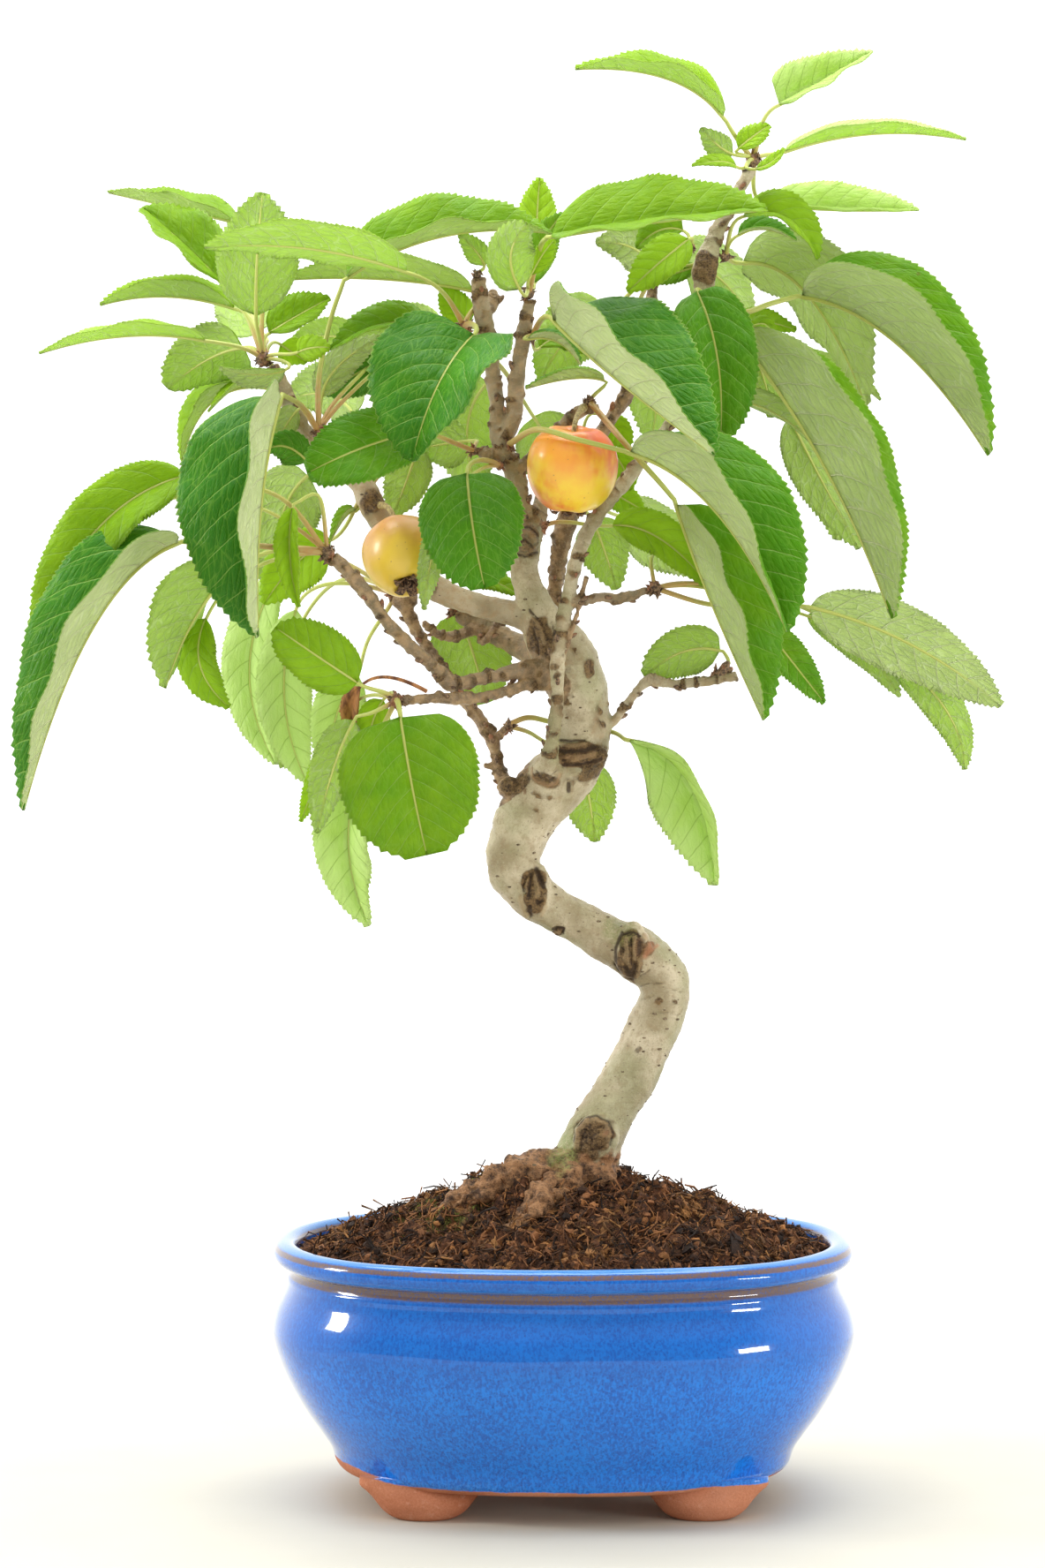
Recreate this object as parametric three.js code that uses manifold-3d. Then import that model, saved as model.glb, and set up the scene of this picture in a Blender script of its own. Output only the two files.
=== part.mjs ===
// A crabapple bonsai in its oval glazed pot: pot, soil, tree, two apples and the leaves.
// Millimetres, +Z up. The tree's front faces -Y.

import * as THREE from "three";
import { mergeVertices } from "three/addons/utils/BufferGeometryUtils.js";
import Module from "manifold-3d";

// ---- driving dimensions ----

const GAP = 0.3; // clear space left between pieces that touch

const POT = {
  halfWidth: 100, // of the rim
  halfDepth: 78,
  squareness: 2.3, // exponent of the oval plan: 2 is an ellipse
  rimTop: 89.2,
  floorTop: 19,
  underside: 11,
  segments: 26,
};
const FOOT = { x: 47, y: 41, segments: 8 }; // centre of each foot, from the pot's middle
const DRAIN = { x: 38, radius: 7, segments: 12 };
const SOIL = { edgeTop: 85.3, heap: 31.5, bulge: 0.72, roughness: 1.5, rings: 5 };
const TRUNK_FOOT = [6, 0];
const APPLE_SEGMENTS = 10;
const BLADE = { thick: 0.8, spacing: 28, fewest: 2, most: 6, tooth: 1.1, root: 0.9 };
const STALK = { radius: 0.9, lead: 0.35 };
const BUD_RADIUS = 2.8;

// Places in the tree are written [x, z, depth]: x across and z up as they look from a point in front
// of the tree, in the upright plane through the pot's centre, and the depth behind that plane.
const VIEWPOINT = new THREE.Vector3(-14, -1500, 310);
const at = ([x, z, depth]) =>
  new THREE.Vector3(x, 0, z)
    .sub(VIEWPOINT)
    .multiplyScalar(1 - depth / VIEWPOINT.y)
    .add(VIEWPOINT);

// ---- materials ----

const material = (color, roughness) =>
  new THREE.MeshStandardMaterial({ color, roughness, metalness: 0 });
const GLAZE = material(0x1c57c8, 0.12);
const EARTH = material(0x3a2416, 0.95);
const BARK = material(0xa39a86, 0.75);
const APPLE_SKIN = material(0xe6a23a, 0.35);
const LEAF_GREEN = material(0x4f8f1e, 0.4);
const WITHERED_BROWN = material(0x8a4a1e, 0.8);

// ---- closed solids ----

const wasm = await Module();
wasm.setup();

function solid(points, faces) {
  const mesh = new wasm.Mesh({
    numProp: 3,
    vertProperties: new Float32Array(points.flatMap((p) => [p.x, p.y, p.z])),
    triVerts: new Uint32Array(faces.flat()),
  });
  return new wasm.Manifold(mesh);
}

function solidOf(geometry) {
  geometry.deleteAttribute("normal");
  geometry.deleteAttribute("uv");
  const merged = mergeVertices(geometry);
  const mesh = new wasm.Mesh({
    numProp: 3,
    vertProperties: merged.attributes.position.array,
    triVerts: new Uint32Array(merged.index.array),
  });
  return new wasm.Manifold(mesh);
}

const joined = (solids) => solids.reduce((all, one) => all.add(one));

// The largest body of a solid, without the loose scraps that a cut leaves.
const largest = (cut) => cut.decompose().sort((a, b) => b.volume() - a.volume())[0];

// A skin over flat rings of equally many points, each ring turning to the left about the way forward,
// closed at both ends.
function loft(rings) {
  const sides = rings[0].length;
  const faces = [];
  for (let r = 0; r + 1 < rings.length; r++)
    for (let i = 0; i < sides; i++) {
      const a = r * sides + i;
      const b = r * sides + ((i + 1) % sides);
      faces.push([a, b, b + sides], [a, b + sides, a + sides]);
    }
  const end = (rings.length - 1) * sides;
  for (let i = 1; i + 1 < sides; i++) faces.push([0, i + 1, i], [end, end + i, end + i + 1]);
  return solid(rings.flat(), faces);
}

// A tube of changing radius through places, each with a point and a radius. swell makes it larger all
// round, its ends included.
function tube(places, sides, swell = 0) {
  const curve = new THREE.CatmullRomCurve3(places.map((p) => p.point));
  let across = new THREE.Vector3(1, 0.3, 0.1);
  const rings = places.map(({ radius }, i) => {
    const share = i / (places.length - 1);
    const along = curve.getTangent(share);
    const beyond = swell * ((share === 1) - (share === 0));
    const centre = curve.getPoint(share).addScaledVector(along, beyond);
    across = across.clone().addScaledVector(along, -across.dot(along)).normalize();
    const other = along.clone().cross(across);
    return Array.from({ length: sides }, (_, k) => {
      const turn = (2 * Math.PI * k) / sides;
      return centre
        .clone()
        .addScaledVector(across, (radius + swell) * Math.cos(turn))
        .addScaledVector(other, (radius + swell) * Math.sin(turn));
    });
  });
  return loft(rings);
}

// Smooth unevenness from a few fixed waves, between -1 and 1.
const unevenness = (x, y) =>
  (Math.sin(x * 0.31 + y * 0.17 + 1.3) +
    Math.sin(x * 0.13 - y * 0.37 + 4.1) +
    Math.sin(x * 0.53 + y * 0.47 + 2.2)) /
  3;

// ---- pot: one fired piece with four feet and two drain holes ----

// The oval plan of the pot, as a ring at one height. Its size is given by its half width.
function oval(halfWidth, z) {
  const { segments, squareness } = POT;
  const halfDepth = (halfWidth * POT.halfDepth) / POT.halfWidth;
  return Array.from({ length: segments }, (_, i) => {
    const turn = (2 * Math.PI * i) / segments;
    const across = Math.cos(turn);
    const back = Math.sin(turn);
    const sum = Math.abs(across) ** squareness + Math.abs(back) ** squareness;
    const reach = sum ** (-1 / squareness);
    return new THREE.Vector3(halfWidth * across * reach, halfDepth * back * reach, z);
  });
}

// Half width and height, up the outside from the foot ring to the rim.
const POT_OUTSIDE = [
  [76, POT.underside],
  [86.5, 21],
  [94.5, 35],
  [99, 47],
  [100.3, 57],
  [98.6, 66],
  [95.4, 71.5],
  [95.4, 75],
  [98.8, 78],
  [99.8, 83],
  [98.2, POT.rimTop],
];
// Half width and height, down the inside from the rim to the floor.
const POT_INSIDE = [
  [94.5, 89],
  [91.2, 85.5],
  [91.2, 62],
  [88, 45],
  [73, POT.floorTop],
];

// Half width, half depth and height of a foot, from its rounded sole up into the pot's floor.
const FOOT_PROFILE = [
  [9.5, 6.5, 0],
  [12.7, 8.5, 1.2],
  [15.5, 10.1, 4.2],
  [20, 13, 14],
];

function foot(sideX, sideY) {
  const rings = FOOT_PROFILE.map(([halfX, halfY, z]) =>
    Array.from({ length: FOOT.segments }, (_, i) => {
      const turn = (2 * Math.PI * i) / FOOT.segments;
      return new THREE.Vector3(
        sideX * FOOT.x + halfX * Math.cos(turn),
        sideY * FOOT.y + halfY * Math.sin(turn),
        z,
      );
    }),
  );
  return loft(rings);
}

function pot() {
  const body = loft([...POT_OUTSIDE, ...POT_INSIDE].map(([half, z]) => oval(half, z)));
  const feet = [1, -1].flatMap((x) => [1, -1].map((y) => foot(x, y)));
  const holes = [1, -1].map((side) =>
    solidOf(
      new THREE.CylinderGeometry(DRAIN.radius, DRAIN.radius, 3 * POT.floorTop, DRAIN.segments)
        .rotateX(Math.PI / 2)
        .translate(side * DRAIN.x, 0, POT.floorTop),
    ),
  );
  return joined([body, ...feet]).subtract(joined(holes));
}

// ---- wood: trunk, roots, branches and twigs, grown as one piece ----

const stem = (sides, ...places) => ({
  sides,
  places: places.map(([x, z, depth, radius]) => ({ point: at([x, z, depth]), radius })),
});

const TRUNK = stem(10,
  [5, 72, 0, 8], [5, 88, 0, 13], [5, 101, 0, 15.5], [6.5, 111, 0, 13.2], [9, 119, 0, 11],
  [14, 130, 0, 9.7], [20, 140, 1, 9.3], [25.8, 150, 2, 9.4], [30.3, 160, 3, 9.2], [33.8, 168, 4, 8.7],
  [35, 175.5, 4, 8.7], [31.8, 182, 4, 9], [25, 187.5, 3, 9.5], [17, 191.8, 2, 8.4], [8, 196.8, 1, 7.4],
  [-1, 201.6, 0, 7.2], [-9, 206.8, -1, 8.2], [-15.5, 213.5, -2, 8.9], [-17.6, 221, -2, 9.3],
  [-15.2, 229, -2, 10], [-11, 236.5, -1, 10.7], [-5.5, 243.5, 0, 11.2], [0.8, 250, 0, 10.8],
  [5, 257, 0, 10.3], [6.3, 266, 0, 9.7], [5.4, 276, 0, 10.1], [2.4, 286, 0, 10.6],
  [-2.5, 294, 0, 9.9], [-7, 301, -1, 8], [-10.3, 309, -2, 5.8], [-13.3, 319, -3, 4.9],
  [-12.8, 329, -4, 5.6], [-11.5, 336, -4, 4.2]);

const ROOTS = [
  stem(6, [2, 110, -3, 9], [-10, 110.5, -8, 8], [-22, 106.5, -13, 6.8], [-34, 101, -16, 5],
    [-46, 92, -18, 3]),
  stem(6, [5, 110, -5, 7.5], [-2, 105.5, -17, 5.6], [-11, 98, -30, 4.2], [-18, 88, -40, 2.6]),
];

// Knobs where old shoots were cut off or healed over: centre, radius, and squash along x, y and z.
const KNOBS = [
  [[11.3, 123.5, -9.5], 8.2, [1, 0.45, 1]],
  [[-10, 210.5, -7.5], 8, [0.8, 0.45, 1.1]],
  [[24, 188.5, -5.5], 9, [0.75, 0.4, 1.1]],
  [[6, 256.5, -7.5], 9, [1.05, 0.5, 0.45]],
  [[-5.2, 251.5, -10.5], 5.2, [1, 0.6, 1]],
  [[-12.5, 330.5, -8.5], 5.2, [1, 0.5, 1]],
  [[-18, 245, -3], 4.6, [1, 0.8, 0.8]],
  [[48.5, 422, 4], 5, [0.95, 0.95, 0.9]],
  [[-54.5, 309.5, 13], 4.6, [1, 0.8, 0.8]],
];

const BRANCHES = [
  // the two leaders over the swirl knot
  stem(6, [-12, 330, -4, 4.6], [-13.5, 341, -4, 2], [-14.6, 347.5, -4, 2], [-17, 353.5, -3, 3.3],
    [-19.5, 359.5, -3, 3.1], [-22.6, 366, -2, 2.9], [-22.6, 375, -1, 2.7], [-24, 385, 0, 2.6],
    [-25.5, 396, 0, 2.9], [-27.4, 407, 0, 3.1], [-29.4, 419.5, 0, 2.4]),
  stem(5, [-21.5, 362, -3, 2.6], [-17.3, 371, -4, 2.8], [-16.3, 380, -4, 2.8],
    [-15.3, 391, -4, 2.5], [-13.2, 402, -3, 2.5], [-11.8, 412, -3, 1.9]),
  stem(5, [-27.5, 408, 0, 2.5], [-24.5, 411, 2, 2.6], [-24, 415.5, 3, 1.5]),
  stem(5, [-20.5, 359.5, -3, 2.4], [-25, 359.4, -4, 2.3], [-29, 360.4, -4, 1.9]),
  // the stem that leans right behind the right-hand apple
  stem(6, [-4, 298, 6, 4], [-3, 309, 11, 2.5], [-2.2, 320, 12, 2.8], [-0.5, 331, 12, 3.6],
    [2.6, 341, 12, 3.4], [8, 356, 13, 2.8], [14.5, 369, 13, 2.6], [22, 380, 13, 2.4],
    [27.5, 396, 14, 2.2], [30.6, 417, 14, 1.9]),
  stem(5, [-10.5, 332, -3, 4], [-8.5, 340, -2, 2.9], [-6.5, 346, 2, 2.6], [-2, 352, 8, 2.4],
    [5, 354, 12, 2.3]),
  // the grey stem up the front, to the highest shoot
  stem(6, [-4, 247, -8, 3.6], [-5, 253, -11.5, 3.2], [-3.4, 263, -14.5, 2.5], [-2, 276, -16, 2.1],
    [-2, 287, -17, 2.6], [-0.9, 298, -18, 2.3], [1.2, 308, -19, 2.5], [3.6, 320, -20, 2.3],
    [7.4, 331, -20, 2.6], [13, 340, -19, 2.2], [19, 347.5, -17, 2.4], [27, 357, -13, 2.1],
    [37, 372, -7, 1.6], [44.5, 391, -2, 2], [48.3, 411, 3, 3], [49, 424, 4, 4.2], [52, 434, 5, 2.7],
    [57.5, 445, 6, 2.3], [64.5, 457, 6, 1.9]),
  stem(5, [0.8, 309, -19, 2.1], [6, 309, -20, 1.7], [13, 310.5, -20, 1.6], [20, 310, -20, 1.7],
    [29, 313, -20, 1.3]),
  stem(4, [-0.5, 289, -17, 1.2], [4, 302, -20, 0.9], [8, 317.5, -22, 0.8]),
  // the spur beside the right-hand apple
  stem(5, [-17, 352, -3, 2.6], [-13, 356, -4, 2], [-5.5, 364.5, -5, 2], [1.5, 371, -6, 2.1],
    [7.5, 375, -6, 2.2], [12.5, 375.5, -6, 1.3]),
  // the big branch to the left
  stem(7, [-6, 301, -1, 6], [-13, 303.6, -1, 5], [-20, 305.4, 0, 4.3], [-30, 308, 0, 4.1],
    [-41, 312, 1, 4.4], [-52, 320.5, 2, 4.1], [-60, 331.5, 3, 4.1], [-65.7, 342, 3, 4.5],
    [-69.5, 350, 3, 4.1], [-78, 356, 3, 2.8], [-85.8, 362.5, 2, 2.6], [-90.7, 370.5, 1, 2.8],
    [-95.3, 379, 0, 3.2], [-99.5, 385.5, 0, 3.9], [-101.5, 389, 0, 3.9]),
  // twigs to the left, from above down
  stem(5, [-6, 286, -6, 4], [-14, 285.4, -10, 3], [-21, 283.8, -13, 2.3], [-30, 282.2, -18, 2.1],
    [-38.5, 280.8, -22, 2.8], [-44.2, 286, -25, 2.3], [-51, 292.4, -28, 2.2], [-59, 300, -31, 2.1],
    [-66.5, 309.8, -34, 2.1], [-72.5, 317.5, -36, 2.2], [-79, 324.3, -38, 2.1]),
  stem(5, [-5, 281, -6, 3.2], [-12, 280.4, -11, 2.2], [-20, 278, -17, 1.8], [-30, 275.6, -24, 1.7],
    [-36, 275.4, -28, 2.1], [-44, 275.8, -33, 1.7], [-55.5, 274.8, -40, 1.6]),
  stem(5, [-14, 243, 0, 4], [-20.2, 246.6, 2, 2.8], [-22.4, 253, 4, 2.1], [-24.4, 261, 6, 2.3],
    [-30, 270, 9, 2.2], [-37, 278.6, 12, 2.2], [-43.5, 288.5, 14, 2], [-49.5, 297.5, 15, 2.1],
    [-54.5, 307, 14, 2.6]),
  stem(4, [-22.5, 252, 4, 1.3], [-27.2, 252.4, 3, 1]),
  stem(4, [-24, 261, 6, 1.5], [-21.4, 263.5, 3, 1.3], [-18.8, 266.6, 0, 1.2]),
  stem(5, [-4, 289, 6, 5], [-13, 292.5, 12, 4.2], [-21, 296.5, 17, 3.9], [-29, 300.8, 19, 3.4],
    [-36.5, 304.3, 20, 2]),
  stem(5, [-29, 300, 18, 2.4], [-37, 297, 12, 1.7], [-43, 297.6, 8, 1.6], [-48.5, 301.6, 4, 1.3]),
  stem(4, [-28.5, 300, 17, 1.6], [-28, 295, 12, 1.5], [-24, 299, 9, 1.3], [-21, 304, 7, 1.1]),
  // the twig to the right
  stem(5, [10, 262.5, 0, 3], [16.8, 267.2, -2, 1.7], [21.5, 273, -4, 1.5], [26.5, 279.4, -5, 1.6],
    [30.5, 282, -6, 2.2], [36, 280.8, -7, 1.5], [43, 280.6, -8, 1.5], [51, 281.8, -9, 1.6],
    [60, 283.4, -10, 1.6]),
];

function wood(swell) {
  const stems = [TRUNK, ...ROOTS, ...BRANCHES].map(({ places, sides }) => tube(places, sides, swell));
  const knobs = KNOBS.map(([centre, radius, squash]) => {
    const ball = new THREE.IcosahedronGeometry(radius, radius > 6 ? 1 : 0).scale(...squash);
    const scale = 1 + swell / radius;
    return solidOf(ball.scale(scale, scale, scale).translate(...at(centre).toArray()));
  });
  return joined([...stems, ...knobs]);
}

const tree = wood(0);
const roomForTree = wood(GAP);

// ---- soil: fills the pot and is heaped to the trunk's foot ----

function soil() {
  const walls = POT_INSIDE.slice(2)
    .reverse()
    .map(([half, z]) => oval(half - GAP, z === POT.floorTop ? z + GAP : z));
  const edge = oval(POT_INSIDE[2][0] - GAP, SOIL.edgeTop);
  const heap = Array.from({ length: SOIL.rings - 1 }, (_, ring) => {
    const inwards = (ring + 1) / SOIL.rings;
    const rise = SOIL.heap * inwards ** SOIL.bulge;
    return edge.map((p) => {
      const x = THREE.MathUtils.lerp(p.x, TRUNK_FOOT[0], inwards);
      const y = THREE.MathUtils.lerp(p.y, TRUNK_FOOT[1], inwards);
      return new THREE.Vector3(x, y, SOIL.edgeTop + rise + SOIL.roughness * unevenness(x, y));
    });
  });
  return largest(loft([...walls, edge, ...heap]).subtract(roomForTree));
}

// ---- apples: fruit, stalk and dry calyx as one body each ----

// Radius and height of the fruit for a radius of 1, from the calyx hollow over the cheeks to the stalk.
const APPLE_OUTLINE = [
  [0.14, -0.8],
  [0.4, -0.9],
  [0.8, -0.6],
  [0.99, -0.08],
  [0.94, 0.42],
  [0.62, 0.82],
  [0.3, 0.86],
  [0.1, 0.72],
];
// A dry sepal, from inside the calyx hollow outwards: distance from the core and height for a fruit
// of radius 1, and its thickness.
const SEPAL = [
  [0.1, -0.72, 1.3],
  [0.2, -0.98, 1.1],
  [0.36, -1.06, 0.5],
];
const SEPALS = 5;
const STALK_HEIGHTS = [0.5, 0.98]; // where the stalk leaves the fruit, for a radius of 1
const STALK_RADIUS = 1.1;

function apple({ centre, radius, calyx, stalk }) {
  const middle = at(centre);
  const up = middle.clone().sub(at(calyx)).normalize();
  const turn = new THREE.Quaternion().setFromUnitVectors(new THREE.Vector3(0, 0, 1), up);
  const place = (x, y, z) => new THREE.Vector3(x, y, z).applyQuaternion(turn).add(middle);
  const fruit = loft(
    APPLE_OUTLINE.map(([out, height]) =>
      Array.from({ length: APPLE_SEGMENTS }, (_, i) => {
        const angle = (2 * Math.PI * i) / APPLE_SEGMENTS;
        const r = radius * out;
        return place(r * Math.cos(angle), r * Math.sin(angle), radius * height);
      }),
    ),
  );
  const sepals = Array.from({ length: SEPALS }, (_, i) => {
    const angle = (2 * Math.PI * i) / SEPALS;
    const places = SEPAL.map(([out, height, thick]) => ({
      point: place(radius * out * Math.cos(angle), radius * out * Math.sin(angle), radius * height),
      radius: thick,
    }));
    return tube(places, 3);
  });
  const rooted = STALK_HEIGHTS.map((height) => place(0, 0, radius * height));
  const stem = tube([...rooted, ...stalk.map(at)].map((point) => ({ point, radius: STALK_RADIUS })), 5);
  return largest(joined([fruit, stem, ...sepals]).subtract(roomForTree));
}

const APPLES = {
  apple_right: {
    centre: [3, 354.5, -28],
    radius: 15.2,
    calyx: [2, 338, -25],
    stalk: [[5, 373, -21], [7, 375.5, -9]],
  },
  apple_left: {
    centre: [-55, 324.5, -20],
    radius: 13.6,
    calyx: [-53, 314, -28],
    stalk: [[-60, 341, -8], [-63.5, 342, 1]],
  },
};

// ---- leaves ----

// A leaf runs from its base over the middle of its rib to its tip. half is the width of one side of
// the blade. roll turns the blade about its rib: 0 shows the upper face to the front, 180 the
// underside, and at 90 or -90 a leaf that points left or right lies flat with its upper face up.
// fold lifts both sides towards the upper face, and twist is how much the roll grows from base to tip.
// point is 1 for a round outline and 1.8 for a slender one, widest is where along it the blade is
// widest, and via holds the places that the stalk passes on its way from the twig to the base.
const leaf = (base, middle, tip, half, roll, fold = 12, more = {}) =>
  ({ base, middle, tip, half, roll, fold, twist: 0, point: 1.4, widest: 0.42, via: [], ...more });

// The leaves of one spur, with their stalks rooted in its bud.
const spray = (spur, ...leaves) => ({ spur, leaves });

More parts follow.
